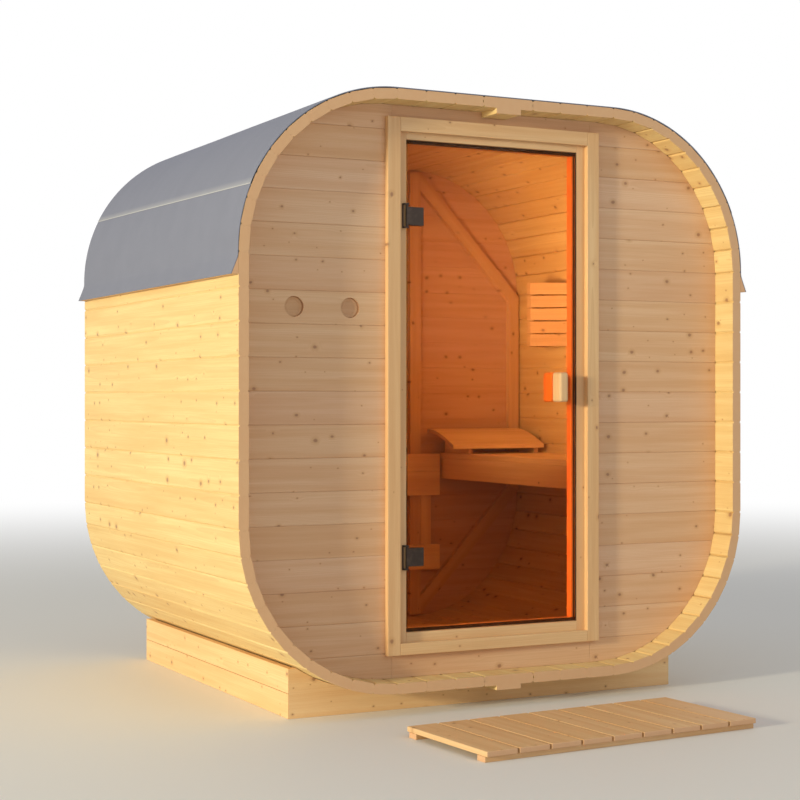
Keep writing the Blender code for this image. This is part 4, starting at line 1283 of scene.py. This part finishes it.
@dataclass
class Plinth:
    """The two cradle boards and the stacked sides under the barrel."""

    half: float = 0.808
    height: float = 0.175
    front: float = 0.14
    back: float = 1.68
    end_thickness: float = 0.038
    side_thickness: float = 0.028
    joint: float = 0.0006
    end_ease: float = 0.0014
    side_ease: float = 0.0018

    def cradle(self) -> list[Flat]:
        """Gives the outline of a cradle board, which follows the barrel's underside."""
        shell = SHELL
        radius = shell.radius + SEAT
        centre = (-shell.arc_x, shell.centre - shell.arc_z)
        edge = min(shell.arc_x + math.sqrt(radius**2 - (centre[1] - self.height) ** 2), self.half)
        horn = centre[1] - math.sqrt(radius**2 - (edge - shell.arc_x) ** 2)
        seat = shell.clearance - SEAT
        slot = shell.web / 2 + SEAT
        curve = [
            spot for spot in arc(centre, radius, 270.0, 180.0, 40)
            if spot[1] < horn - SEAT and -spot[0] < edge - SEAT
        ]
        left = [(-slot, seat - shell.keel_drop), (-slot, seat), *curve, (-edge, horn)]
        if self.half - edge > SEAT:
            left.append((-self.half, horn))
        left.append((-self.half, 0.0))
        return left + mirrored(left)

    def build(self) -> None:
        """Builds the four sides of the plinth."""
        outline = self.cradle()
        for seed, name, sign in ((14, "front", -1.0), (15, "back", 1.0)):
            outer = FRONT_Y + (self.front if sign < 0.0 else self.back)
            ends = sorted((outer, outer - sign * self.end_thickness))
            shape = drawn_out(outline, Axis.Y, *ends)
            for side in (-1.0, 1.0):
                self.mitred(shape, side, sign, False)
            eased(shape, self.end_ease)
            timber = Timber(seed)
            timber.add(shape, Axis.X.way, Axis.Y.way)
            timber.piece(f"cradle_board_{name}", Palette.PLINTH_PAINTED_LIGHT, f"plinth_{name}")
        for seed, name, side in ((16, "left", -1.0), (17, "right", 1.0)):
            across = sorted((side * self.half, side * (self.half - self.side_thickness)))
            low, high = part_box(f"plinth_{name}")
            timber = Timber(seed)
            middle = high.z / 2
            for bottom, top in ((low.z, middle - self.joint), (middle + self.joint, high.z)):
                face = rectangle((across[0], bottom), (across[1], top))
                shape = drawn_out(face, Axis.Y, FRONT_Y + self.front, FRONT_Y + self.back)
                for sign in (-1.0, 1.0):
                    self.mitred(shape, side, sign, True)
                eased(shape, self.side_ease)
                timber.add(shape, Axis.Y.way, Axis.X.way)
            timber.piece(f"plinth_boards_{name}", Palette.PLINTH_PAINTED_LIGHT, f"plinth_{name}")

    def mitred(self, shape: bmesh.types.BMesh, side: float, sign: float, level: bool) -> None:
        """Cuts the end of a board slanted at one corner of the plinth.

        Args:
            shape: The board.
            side: Left, -1, or right, 1.
            sign: Front, -1, or back, 1.
            level: Whether it is a side board, which keeps what lies outside of the cut.
        """
        middle = Vector((0.0, FRONT_Y + (self.front + self.back) / 2, 0.0))
        corner = middle + Vector((side * self.half, sign * (self.back - self.front) / 2, 0.0))
        inward = Vector((-side * self.side_thickness, -sign * self.end_thickness, 0.0))
        off = Vector((side * self.end_thickness, -sign * self.side_thickness, 0.0)).normalized()
        if level:
            off = -off
        sliced(shape, corner + inward - off * SEAT, off)


@dataclass
class DoorFrame:
    """The casings, jambs, head, sill and stops round the door."""

    strip: float = 0.0014
    strip_setback: float = 0.0008
    seal_width: float = 0.0065
    seal_ease: float = 0.0006

    def _upright(self, timber: Timber, sign: float) -> None:
        """Adds the casing and the rebated jamb of one side.

        Args:
            timber: The piece that they join.
            sign: Left, -1, or right, 1.
        """
        door = DOORWAY
        wall, stop = FRONT_Y + door.wall, FRONT_Y + door.stop
        far = wall + door.depth
        across = sorted((sign * door.casing_outer, sign * door.casing_inner))
        low = (across[0], wall - door.proud, door.bottom)
        timber.plank(low, (across[1], wall - SEAT, door.head_outer), Axis.Z)
        inner = door.rebate - door.stop_lap
        side = door.cut_half - SEAT
        outline = [
            (-side, wall), (-door.rebate, wall), (-door.rebate, stop),
            (-inner, stop), (-inner, far), (-side, far),
        ]
        if sign > 0.0:
            outline = mirrored(outline)
        ends = (door.cut_low + SEAT, door.cut_top - SEAT)
        timber.prism(outline, Axis.Z, *ends, Axis.Z.way, Axis.Y.way, FINE_EDGE)

    def _level(self, timber: Timber, casing: Flat, body: Flat, lip: Flat) -> None:
        """Adds the casing, the member and the stop of the head or the sill.

        Args:
            timber: The piece that they join.
            casing: Lower and upper edge of the casing.
            body: Lower and upper edge of the flush member.
            lip: Lower and upper edge of the stop.
        """
        door = DOORWAY
        wall, stop = FRONT_Y + door.wall, FRONT_Y + door.stop
        tone = timber.draw()
        for half, near, far, span, ease, number in (
            (door.casing_inner, wall - door.proud, wall - SEAT, casing, timber.ease, tone),
            (door.rebate, wall, stop - SEAT, body, FINE_EDGE, tone),
            (door.rebate - door.stop_lap, stop - SEAT, wall + door.depth, lip, FINE_EDGE, None),
        ):
            low, high = (SEAT - half, near, span[0]), (half - SEAT, far, span[1])
            timber.plank(low, high, Axis.X, ease, number=number)

    def build(self) -> None:
        """Builds the four members of the frame and finishes the seal."""
        door = DOORWAY
        for seed, name, sign in ((21, "left", -1.0), (22, "right", 1.0)):
            timber = Timber(seed, ROUND_EDGE)
            self._upright(timber, sign)
            timber.piece(f"door_upright_{name}", Palette.TRIM, f"door_jamb_{name}")
        head_lip, sill_lip = door.rebate_top - door.stop_lap, door.sill_top + door.stop_lap
        top, foot = door.cut_top - SEAT, door.cut_low + SEAT
        timber = Timber(23, ROUND_EDGE)
        self._level(timber, (door.head_inner, door.head_outer), (door.rebate_top, top), (head_lip, top))
        timber.piece("door_head_boards", Palette.TRIM, "door_head")
        timber = Timber(24, ROUND_EDGE)
        self._level(timber, (door.bottom, door.sill_edge), (foot, door.sill_top), (foot, sill_lip))
        timber.piece("door_sill_boards", Palette.TRIM, "door_sill")
        timber = Timber(25, self.seal_ease)
        low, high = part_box("door_seal")
        left, right = door.stop_lap - door.rebate, door.rebate - self.seal_width
        timber.plank(low, (left, high.y, high.z), Axis.Z)
        timber.plank((right, low.y, low.z), high, Axis.Z)
        timber.plank((left, low.y, low.z), (right, high.y, sill_lip), Axis.X)
        timber.plank((left, low.y, head_lip), (right, high.y, high.z), Axis.X)
        near = (door.rebate - self.strip, FRONT_Y + door.wall + self.strip_setback, door.sill_top + SEAT)
        timber.plank(near, (door.rebate, low.y, door.rebate_top - SEAT), Axis.Z)
        timber.piece("door_seal_strips", Palette.RUBBER, "door_seal")


@dataclass
class DoorLeaf:
    """The glass pane, its two wooden handles and the hinges."""

    rounding: float = 0.010
    pin_x: float = -0.366
    pin_y: float = FRONT_Y + 0.0975
    knuckle: float = 0.0040
    knuckle_span: Flat = (0.0060, 0.0070)
    knuckle_end: float = 0.0045
    metal_ease: float = 0.0008

    def metalwork(self, node: str, body: Body) -> None:
        """Makes a metal fitting with rounded edges from its solid.

        Args:
            node: The solid.
            body: Body that carries the fitting.
        """
        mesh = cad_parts[node].data.copy()
        shape = bmesh.new()
        shape.from_mesh(mesh)
        bmesh.ops.remove_doubles(shape, verts=shape.verts, dist=1e-5)
        bmesh.ops.dissolve_limit(
            shape, angle_limit=math.radians(2.0), verts=shape.verts, edges=shape.edges, delimit={"NORMAL"}
        )
        if body is Body.DOOR:
            self.slim(shape)
        eased(shape, self.metal_ease, 2, 50.0)
        bmesh.ops.recalc_face_normals(shape, faces=shape.faces)
        stored(shape, mesh)
        mesh.materials.clear()
        fitted(mesh, f"{node}_metal", Palette.METAL, node, body=body)

    def slim(self, shape: bmesh.types.BMesh) -> None:
        """Draws the knuckle of a clamp in round its pin.

        Args:
            shape: The clamp.
        """
        for point in shape.verts:
            out = Vector((point.co.x - self.pin_x, point.co.y - self.pin_y))
            if self.knuckle_span[0] < out.length < self.knuckle_span[1] and out.x < self.knuckle_end:
                out *= self.knuckle / out.length
                point.co.x, point.co.y = self.pin_x + out.x, self.pin_y + out.y

    def build(self) -> None:
        """Builds the leaf and its fittings."""
        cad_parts["door_glass"].material_slots[0].material = Palette.GLASS.material
        for seed, name in ((26, "door_handle_outside"), (27, "door_handle_inside")):
            timber = Timber(seed)
            timber.plank(*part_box(name), Axis.Z, self.rounding, 6)
            timber.piece(f"{name}_block", Palette.TRIM, name, body=Body.DOOR)
        for level in ("lower", "upper"):
            self.metalwork(f"hinge_clamp_{level}", Body.DOOR)
            self.metalwork(f"hinge_bracket_{level}", Body.CABIN)


@dataclass
class Roof:
    """The lapped roofing sheet and the drip battens under its edges."""

    thickness: float = 0.0024
    lap_step: float = 0.0014
    lap_lift: float = 0.0004
    lap_angle: float = 22.5
    lap_skew: float = 3.8
    lap_edge: Flat = (0.13, 0.4)
    lap_steps: int = 30
    wave: float = 0.0006
    ripple: Flat = (2.3, 2.9)
    lower_edge: float = 1.535
    batten_top: float = 1.593
    batten_depth: float = 0.025
    batten_tip: float = 0.0015
    shares: tuple[float, ...] = (0.0, 0.25, 0.5, 0.75, 0.92)
    turn_in: Flat = (0.006, 0.014)
    batten_ease: float = 0.0005
    pieces: int = 26

    def line(self, lift: float) -> list[Flat]:
        """Follows the left side of the sheet from its drip edge to under the lap.

        Args:
            lift: Distance from the staves.

        Returns:
            Points from the lower edge up to a little past the lap.
        """
        shell = SHELL
        rise = self.batten_top - self.lower_edge
        slant = math.hypot(rise, self.batten_depth) / rise
        side = -shell.half_width - SEAT
        foot = (side - self.batten_depth - lift * slant, self.lower_edge)
        bend = (side - self.batten_tip - lift * slant, self.batten_top)
        points = []
        for share in self.shares:
            points.append((foot[0] + (bend[0] - foot[0]) * share, foot[1] + (bend[1] - foot[1]) * share))
        half_in, all_in = (self.batten_top + up for up in self.turn_in)
        points.append((side - self.batten_tip * 0.5 - lift, half_in))
        points.append((side - lift, all_in))
        centre = (-shell.arc_x, shell.centre + shell.arc_z)
        steps = shell.corner_staves * 4
        under = round(steps * self.lap_angle / 90.0) + 4
        return points + arc(centre, shell.radius + SEAT + lift, 180.0, 90.0, steps)[:under]

    def upper(self, share: float) -> tuple[list[Flat], list[Flat]]:
        """Follows the strip that laps over the others at one place along the roof.

        Args:
            share: Place from the front edge, 0, to the back edge, 1.

        Returns:
            The outside and the inside line from left to right.
        """
        shell = SHELL
        centre = (-shell.arc_x, shell.centre + shell.arc_z)
        first = self.lap_angle + self.lap_skew * share
        near, far = self.lap_edge
        angles = [first, first + near, first + far]
        steps = self.lap_steps
        angles += [first + far + (90.0 - far - first) * step / steps for step in range(1, steps + 1)]
        lines = []
        for lift in (self.thickness + self.lap_step, self.lap_lift):
            left = [arc(centre, shell.radius + SEAT + lift, 180.0 - angle, 0.0, 1)[0] for angle in angles]
            left.append((-shell.arc_x / 2, left[-1][1]))
            lines.append(left + mirrored(left))
        return lines[0], lines[1]

    def strip(
        self, timber: Timber, section: Callable[[float], tuple[list[Flat], list[Flat]]], masks: list[float]
    ) -> None:
        """Adds one closed strip of sheet, from the front of the roof to its back.

        Args:
            timber: The piece that it joins.
            section: Gives the outside and inside line at a share of the length.
            masks: How pale each outer point is.
        """
        first = len(timber.points)
        count = len(masks)
        along, round_it = self.ripple
        for step in range(self.pieces + 1):
            share = step / self.pieces
            depth = FRONT_Y + SHELL.length * share
            for line, lift in zip(section(share), (1.0, 0.0)):
                for (across, up), mask in zip(line, masks):
                    spot = Vector((depth * along, across * round_it, up * round_it))
                    wave = noise.noise(spot) * self.wave * lift
                    away = Vector((across, 0.0, up - SHELL.centre)).normalized() * wave
                    timber.points.append(Vector((across, depth, up)) + away)
                    timber.grain.append(Vector((depth, across - up, 0.0)))
                    timber.numbers.append(mask * lift)
        ring = 2 * count
        loop = [*range(count), *range(ring - 1, count - 1, -1)]
        for step in range(self.pieces):
            start = first + step * ring
            for near, far in zip(loop, loop[1:] + loop[:1]):
                timber.faces.append([start + near, start + far, start + ring + far, start + ring + near])
        last = self.pieces * ring
        for index in range(first, first + count - 1):
            front = [index, index + count, index + count + 1, index + 1]
            timber.faces += [front, [last + item for item in reversed(front)]]

    def build(self) -> None:
        """Builds the lower strips, the strip that laps over them and the battens."""
        outer, inner = self.line(self.thickness), self.line(0.0)
        plain = [0.0] * len(outer)
        half = [1.0, 1.0, 0.35] + [0.0] * (self.lap_steps + 1)
        timber = Timber(30)
        self.strip(timber, lambda share: (outer, inner), plain)
        self.strip(timber, lambda share: (mirrored(outer), mirrored(inner)), plain)
        self.strip(timber, self.upper, half + half[::-1])
        timber.ends = [0.0] * len(timber.faces)
        mesh = timber.mesh("roof_felt")
        shape = bmesh.new()
        shape.from_mesh(mesh)
        bmesh.ops.recalc_face_normals(shape, faces=shape.faces)
        fitted(stored(shape, mesh), "roof_felt", Palette.FELT, "roof_sheet")
        side = -SHELL.half_width - SEAT
        wedge = [
            (side, self.lower_edge), (side, self.batten_top),
            (side - self.batten_tip + SEAT, self.batten_top),
            (side - self.batten_depth + SEAT, self.lower_edge),
        ]
        for seed, name, outline in ((31, "left", wedge), (32, "right", mirrored(wedge))):
            timber = Timber(seed, self.batten_ease)
            timber.prism(outline, Axis.Y, FRONT_Y, FRONT_Y + SHELL.length, Axis.Y.way, Axis.X.way)
            timber.piece(f"drip_strip_{name}", Palette.TRIM, f"drip_batten_{name}")


@dataclass
class BackBattens:
    """The batten frame with slanted braces on each half of the back wall."""

    width: float = 0.055
    middle: float = 0.480
    edge: float = 1.004
    top: float = 2.155
    shoulder: float = 1.600

    def boards(self) -> list[tuple[list[Flat], Vector]]:
        """Lists the outlines of the right half's boards, with their grain."""
        inner = self.middle - self.width
        twice = 2 * SHELL.centre
        foot = twice - self.top
        slope = (self.top - self.shoulder) / (self.edge - self.middle)
        drop = self.width * math.hypot(1.0, slope)
        edge_inner = self.edge - self.width
        bend = self.shoulder + slope * self.width - drop
        down = Vector((1.0, 0.0, -slope)).normalized()
        brace = [
            (self.middle, self.top - drop), (edge_inner, bend),
            (self.edge, self.shoulder), (self.middle, self.top),
        ]
        low_brace = [(across, twice - up) for across, up in reversed(brace)]
        upright = [
            (edge_inner, twice - bend), (self.edge, twice - self.shoulder), (self.edge, self.shoulder),
            (edge_inner, bend),
        ]
        return [
            (rectangle((inner, foot), (self.middle, self.top)), Axis.Z.way),
            (brace, down), (upright, Axis.Z.way), (low_brace, Vector((down.x, 0.0, -down.z))),
        ]

    def build(self) -> None:
        """Builds both halves."""
        for seed, name in ((34, "right"), (35, "left")):
            low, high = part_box(f"back_battens_{name}")
            timber = Timber(seed)
            for outline, grain in self.boards():
                if name == "left":
                    outline = mirrored(outline)
                    grain = Vector((-grain.x, 0.0, grain.z))
                timber.prism(outline, Axis.Y, low.y, high.y, grain, Axis.Y.way)
            timber.piece(f"wall_battens_{name}", Palette.TRIM, f"back_battens_{name}")


@dataclass
class Bench:
    """The bench, its fascia and the headrest."""

    front: float = 0.580
    top: float = 0.870
    board: float = 0.025
    boards: int = 4
    gap: float = 0.008
    cleat: float = 0.045
    cleats: int = 3
    fascia_thickness: float = 0.028
    rest_depth: float = 0.250
    rest_front: float = 0.041
    rest_back: float = 0.110
    rest_board: float = 0.018
    rest_steps: int = 24
    rest_ease: float = 0.0018
    cheek: float = 0.020
    cheek_inset: float = 0.02
    cheek_back: float = 0.004

    def seat(self) -> None:
        """Lays the seat boards on their cleats and sets the fascia before them."""
        low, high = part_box("bench_seat")
        width = (high.x - low.x - (self.boards - 1) * self.gap) / self.boards
        under = self.top - self.board
        timber = Timber(50, WORN_EDGE)
        timber.plank((0.0, low.y, under), (width, high.y, self.top), Axis.Y)
        board = timber.mesh("seat_board", numbered=False)
        step = (width + self.gap, 0.0, 0.0)
        ROW.lay(board, "bench_boards", Palette.BENCH_PAINTED_LIGHT, "bench_seat", self.boards, 51, step, (low.x, 0.0, 0.0))
        timber = Timber(52)
        spread = (high.y - low.y - self.cleats * self.cleat) / (self.cleats + 1)
        inner = self.front + self.fascia_thickness + SEAT
        for index in range(self.cleats):
            near = low.y + spread + index * (spread + self.cleat)
            timber.plank((inner, near, low.z), (high.x, near + self.cleat, under), Axis.X)
        timber.piece("bench_cleats", Palette.BENCH_PAINTED_LIGHT)
        timber = Timber(53, WORN_EDGE)
        timber.plank(*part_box("bench_fascia"), Axis.Y)
        timber.piece("bench_front_board", Palette.BENCH_PAINTED_LIGHT, "bench_fascia")

    def headrest(self) -> None:
        """Bends the headrest's board over its two cheeks."""
        low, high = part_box("headrest")
        rise = self.rest_back - self.rest_front
        crown = []
        for step in range(self.rest_steps + 1):
            share = step / self.rest_steps
            height = self.rest_front + rise * math.sin(share * math.pi / 2)
            crown.append((low.y + self.rest_depth * share, low.z + height))
        under = [(depth, up - self.rest_board) for depth, up in crown]
        timber = Timber(54)
        timber.prism(crown + under[::-1], Axis.X, low.x, high.x, Axis.X.way, Axis.Z.way, self.rest_ease)
        inset = self.cheek_inset
        cheek = [(low.y + inset, low.z), (high.y - self.cheek_back, low.z), *reversed(under[2:-1])]
        for place in (self.front + inset, high.x - inset - self.cheek):
            timber.prism(cheek, Axis.X, place, place + self.cheek, Axis.Y.way, Axis.X.way)
        timber.piece("headrest_wood", Palette.BENCH_PAINTED_LIGHT, "headrest")

    def build(self) -> None:
        """Builds the bench and the headrest."""
        self.seat()
        self.headrest()


@dataclass
class WallRails:
    """The rails on two posts beside the bench."""

    thickness: float = 0.028
    spans: tuple[Flat, ...] = ((0.337, 0.450), (0.676, 0.7865), (0.787, 0.866))
    post: float = 0.053
    inset: float = 0.032
    ease: float = 0.0018

    def build(self) -> None:
        """Builds the rails and their posts."""
        low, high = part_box("wall_rails")
        timber = Timber(56, self.ease)
        middle = low.y + self.thickness
        for bottom, top in self.spans:
            timber.plank((low.x, low.y, bottom), (high.x, middle, top), Axis.X)
        for place in (low.x + self.inset, high.x - self.inset - self.post):
            timber.plank((place, middle, low.z), (place + self.post, high.y, high.z), Axis.Z)
        timber.piece("rails_and_posts", Palette.BENCH_PAINTED_LIGHT, "wall_rails")


@dataclass
class LampShade:
    """The slatted shade on the right wall, which runs out to a narrow nose."""

    slats: int = 5
    height: float = 0.053
    gap: float = 0.005
    board: float = 0.010
    nose: float = 0.030
    back: float = 0.010
    stick: float = 0.014
    inset: float = 0.004
    let_in: float = 0.001
    stick_place: float = 1.7
    ease: float = 0.0014

    def band(self, low: Vector, high: Vector) -> bpy.types.Mesh:
        """Makes one band: two slanted slats with a short one across the nose.

        Args:
            low: Lower corner of the shade's box.
            high: Upper corner of the shade's box.

        Returns:
            The band's mesh, from z = 0 up.
        """
        middle = (low.y + high.y) / 2
        half = (high.y - low.y) / 2
        nose = self.nose / 2
        end, inner = high.x - self.back, low.x + self.board
        slope = (half - nose) / (end - low.x)
        inset = self.board * math.hypot(1.0, slope)
        tip = nose + slope * self.board - inset
        timber = Timber(58, self.ease)
        for sign in (-1.0, 1.0):
            slat = [
                (end, middle + sign * half), (end, middle + sign * (half - inset)),
                (inner, middle + sign * tip), (low.x, middle + sign * nose),
            ]
            along = Vector((1.0, sign * slope, 0.0)).normalized()
            timber.prism(slat, Axis.Z, 0.0, self.height, along, along.cross(Axis.Z.way))
        front = [(low.x, middle - nose), (low.x, middle + nose), (inner, middle + tip), (inner, middle - tip)]
        timber.prism(front, Axis.Z, 0.0, self.height, Axis.Y.way, Axis.X.way)
        return timber.mesh("shade_band", numbered=False)

    def build(self) -> None:
        """Builds the bands of slats and the sticks that hold them."""
        low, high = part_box("lamp_shade")
        step = (0.0, 0.0, self.height + self.gap)
        band = self.band(low, high)
        ROW.lay(band, "shade_slats", Palette.TRIM, "lamp_shade", self.slats, 59, step, (0.0, 0.0, low.z))
        middle = (low.y + high.y) / 2
        inner = low.x + self.board - self.let_in
        bottom, top = low.z + self.inset, high.z - self.inset
        timber = Timber(60)
        half = self.nose / 2 - self.inset
        timber.plank((inner, middle - half, bottom), (inner + self.stick, middle + half, top), Axis.Z)
        straight = SHELL.centre + SHELL.arc_z - 2 * self.inset
        reach = (high.y - low.y) / 2 - self.stick * self.stick_place
        for start in (middle - reach, middle + reach - self.stick):
            foot = (high.x - self.back - self.stick, start, bottom)
            timber.plank(foot, (high.x, start + self.stick, straight), Axis.Z)
        timber.piece("shade_sticks", Palette.TRIM)


@dataclass
class Duckboard:
    """The duckboard that lies in front of the door, turned a little from the wall."""

    slats: int = 9
    width: float = 0.115
    gap: float = 0.007
    depth: float = 0.478
    thickness: float = 0.018
    runner: float = 0.045
    inset: float = 0.012
    setback: float = 0.0005
    ease: float = 0.0028
    angle: float = math.radians(3.6)

    def build(self) -> None:
        """Builds the slats and the two runners under them."""
        low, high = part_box("duckboard")
        centre = (low + high) / 2
        under = high.z - self.thickness
        pitch = self.width + self.gap
        length = self.slats * pitch - self.gap
        left = centre.x - length / 2
        near = centre.y - self.depth / 2
        timber = Timber(62, self.ease)
        timber.plank((left, near, under), (left + self.width, near + self.depth, high.z), Axis.Y)
        timber.turn(self.angle, centre)
        slat = timber.mesh("slat", numbered=False)
        step = (pitch * math.cos(self.angle), pitch * math.sin(self.angle), 0.0)
        ROW.lay(slat, "duckboard_slats", Palette.TRIM, "duckboard", self.slats, 63, step)
        timber = Timber(64, ROUND_EDGE)
        for start in (near + self.inset, near + self.depth - self.inset - self.runner):
            foot = (left + self.setback, start, low.z)
            timber.plank(foot, (left + length - self.setback, start + self.runner, under), Axis.X)
        timber.turn(self.angle, centre)
        timber.piece("duckboard_runners", Palette.TRIM)


@dataclass
class Lamp:
    """One soft square lamp, with its power in watts and its beam's opening in degrees."""

    name: str
    spot: Spot
    aim: Spot
    size: float
    power: float
    colour: Spot
    spread: float = 180.0

    def build(self) -> None:
        """Hangs the lamp."""
        data = bpy.data.lights.new(self.name, "AREA")
        data.spread = math.radians(self.spread)
        data.shape = "SQUARE"
        data.size = self.size
        data.energy = self.power
        data.color = self.colour
        made = bpy.data.objects.new(self.name, data)
        made.location = self.spot
        made.rotation_euler = (Vector(self.aim) - Vector(self.spot)).to_track_quat("-Z", "Y").to_euler()
        bpy.context.scene.collection.objects.link(made)


LAMPS = (
    Lamp("key_from_left", (-15.4, -3.9, 3.2), (0.0, -0.4, 1.1), 1.3, 2150.0, (1.0, 0.91, 0.65)),
    Lamp("fill_from_front", (2.0, -7.5, 3.6), (0.0, 0.0, 1.1), 4.5, 66.0, (0.92, 0.96, 1.0)),
    Lamp("top_light", (0.5, 0.5, 6.5), (0.0, 0.2, 1.0), 5.0, 20.0, (1.0, 1.0, 1.0)),
    Lamp("room_light", (-0.5, 0.0, 1.35), (1.0, 0.45, 1.62), 0.4, 5.4, (1.0, 0.88, 0.70), 72.0),
)


@dataclass
class Studio:
    """The pale floor, the lamps, the white surroundings and the camera."""

    spot: Spot = (-3.1615, FRONT_Y - 5.335, 1.1127)
    heading: float = -27.0
    lens: float = 76.8
    reach: float = 60.0
    world_light: float = 0.40

    def ground(self) -> None:
        """Lays a round floor that fades into the white surroundings."""
        shape = bmesh.new()
        bmesh.ops.create_circle(shape, cap_ends=True, radius=self.reach, segments=96)
        mesh = stored(shape, bpy.data.meshes.new("floor"))
        mesh.materials.append(Palette.FLOOR.material)
        new_object("floor", mesh)

    def surroundings(self) -> None:
        """Makes the world white to the eye and softer as a light."""
        world = bpy.data.worlds.new("white_surroundings")
        world.use_nodes = True
        sheet = Sheet(world.node_tree)
        back = world.node_tree.nodes["Background"]
        back.inputs["Color"].default_value = (1.0, 1.0, 1.0, 1.0)
        sheet.link(sheet.seen().ramp(0.0, 1.0, self.world_light, 1.0), back.inputs["Strength"])
        bpy.context.scene.world = world

    def camera(self) -> None:
        """Sets up the camera at the height and heading of the view."""
        data = bpy.data.cameras.new("camera")
        data.lens = self.lens
        data.sensor_width = 36.0
        data.clip_start = 0.05
        data.clip_end = 200.0
        made = bpy.data.objects.new("camera", data)
        made.location = self.spot
        made.rotation_euler = (math.radians(90.0), 0.0, math.radians(self.heading))
        bpy.context.scene.collection.objects.link(made)
        bpy.context.scene.camera = made

    def build(self) -> None:
        """Sets up the whole studio."""
        self.ground()
        self.surroundings()
        for lamp in LAMPS:
            lamp.build()
        self.camera()
        bpy.context.scene.view_settings.view_transform = "Standard"


def main() -> None:
    """Builds the sauna's pieces in order, then the studio."""
    logging.basicConfig(level=logging.INFO, format="%(name)s: %(message)s")
    builders = (
        Barrel(), EndWalls(), Plinth(), DoorFrame(), DoorLeaf(), Roof(), BackBattens(), Bench(), WallRails(),
        LampShade(), Duckboard(), Studio(),
    )
    for builder in builders:
        builder.build()
        LOG.info("%s is done", type(builder).__name__)


if __name__ == "__main__":
    main()
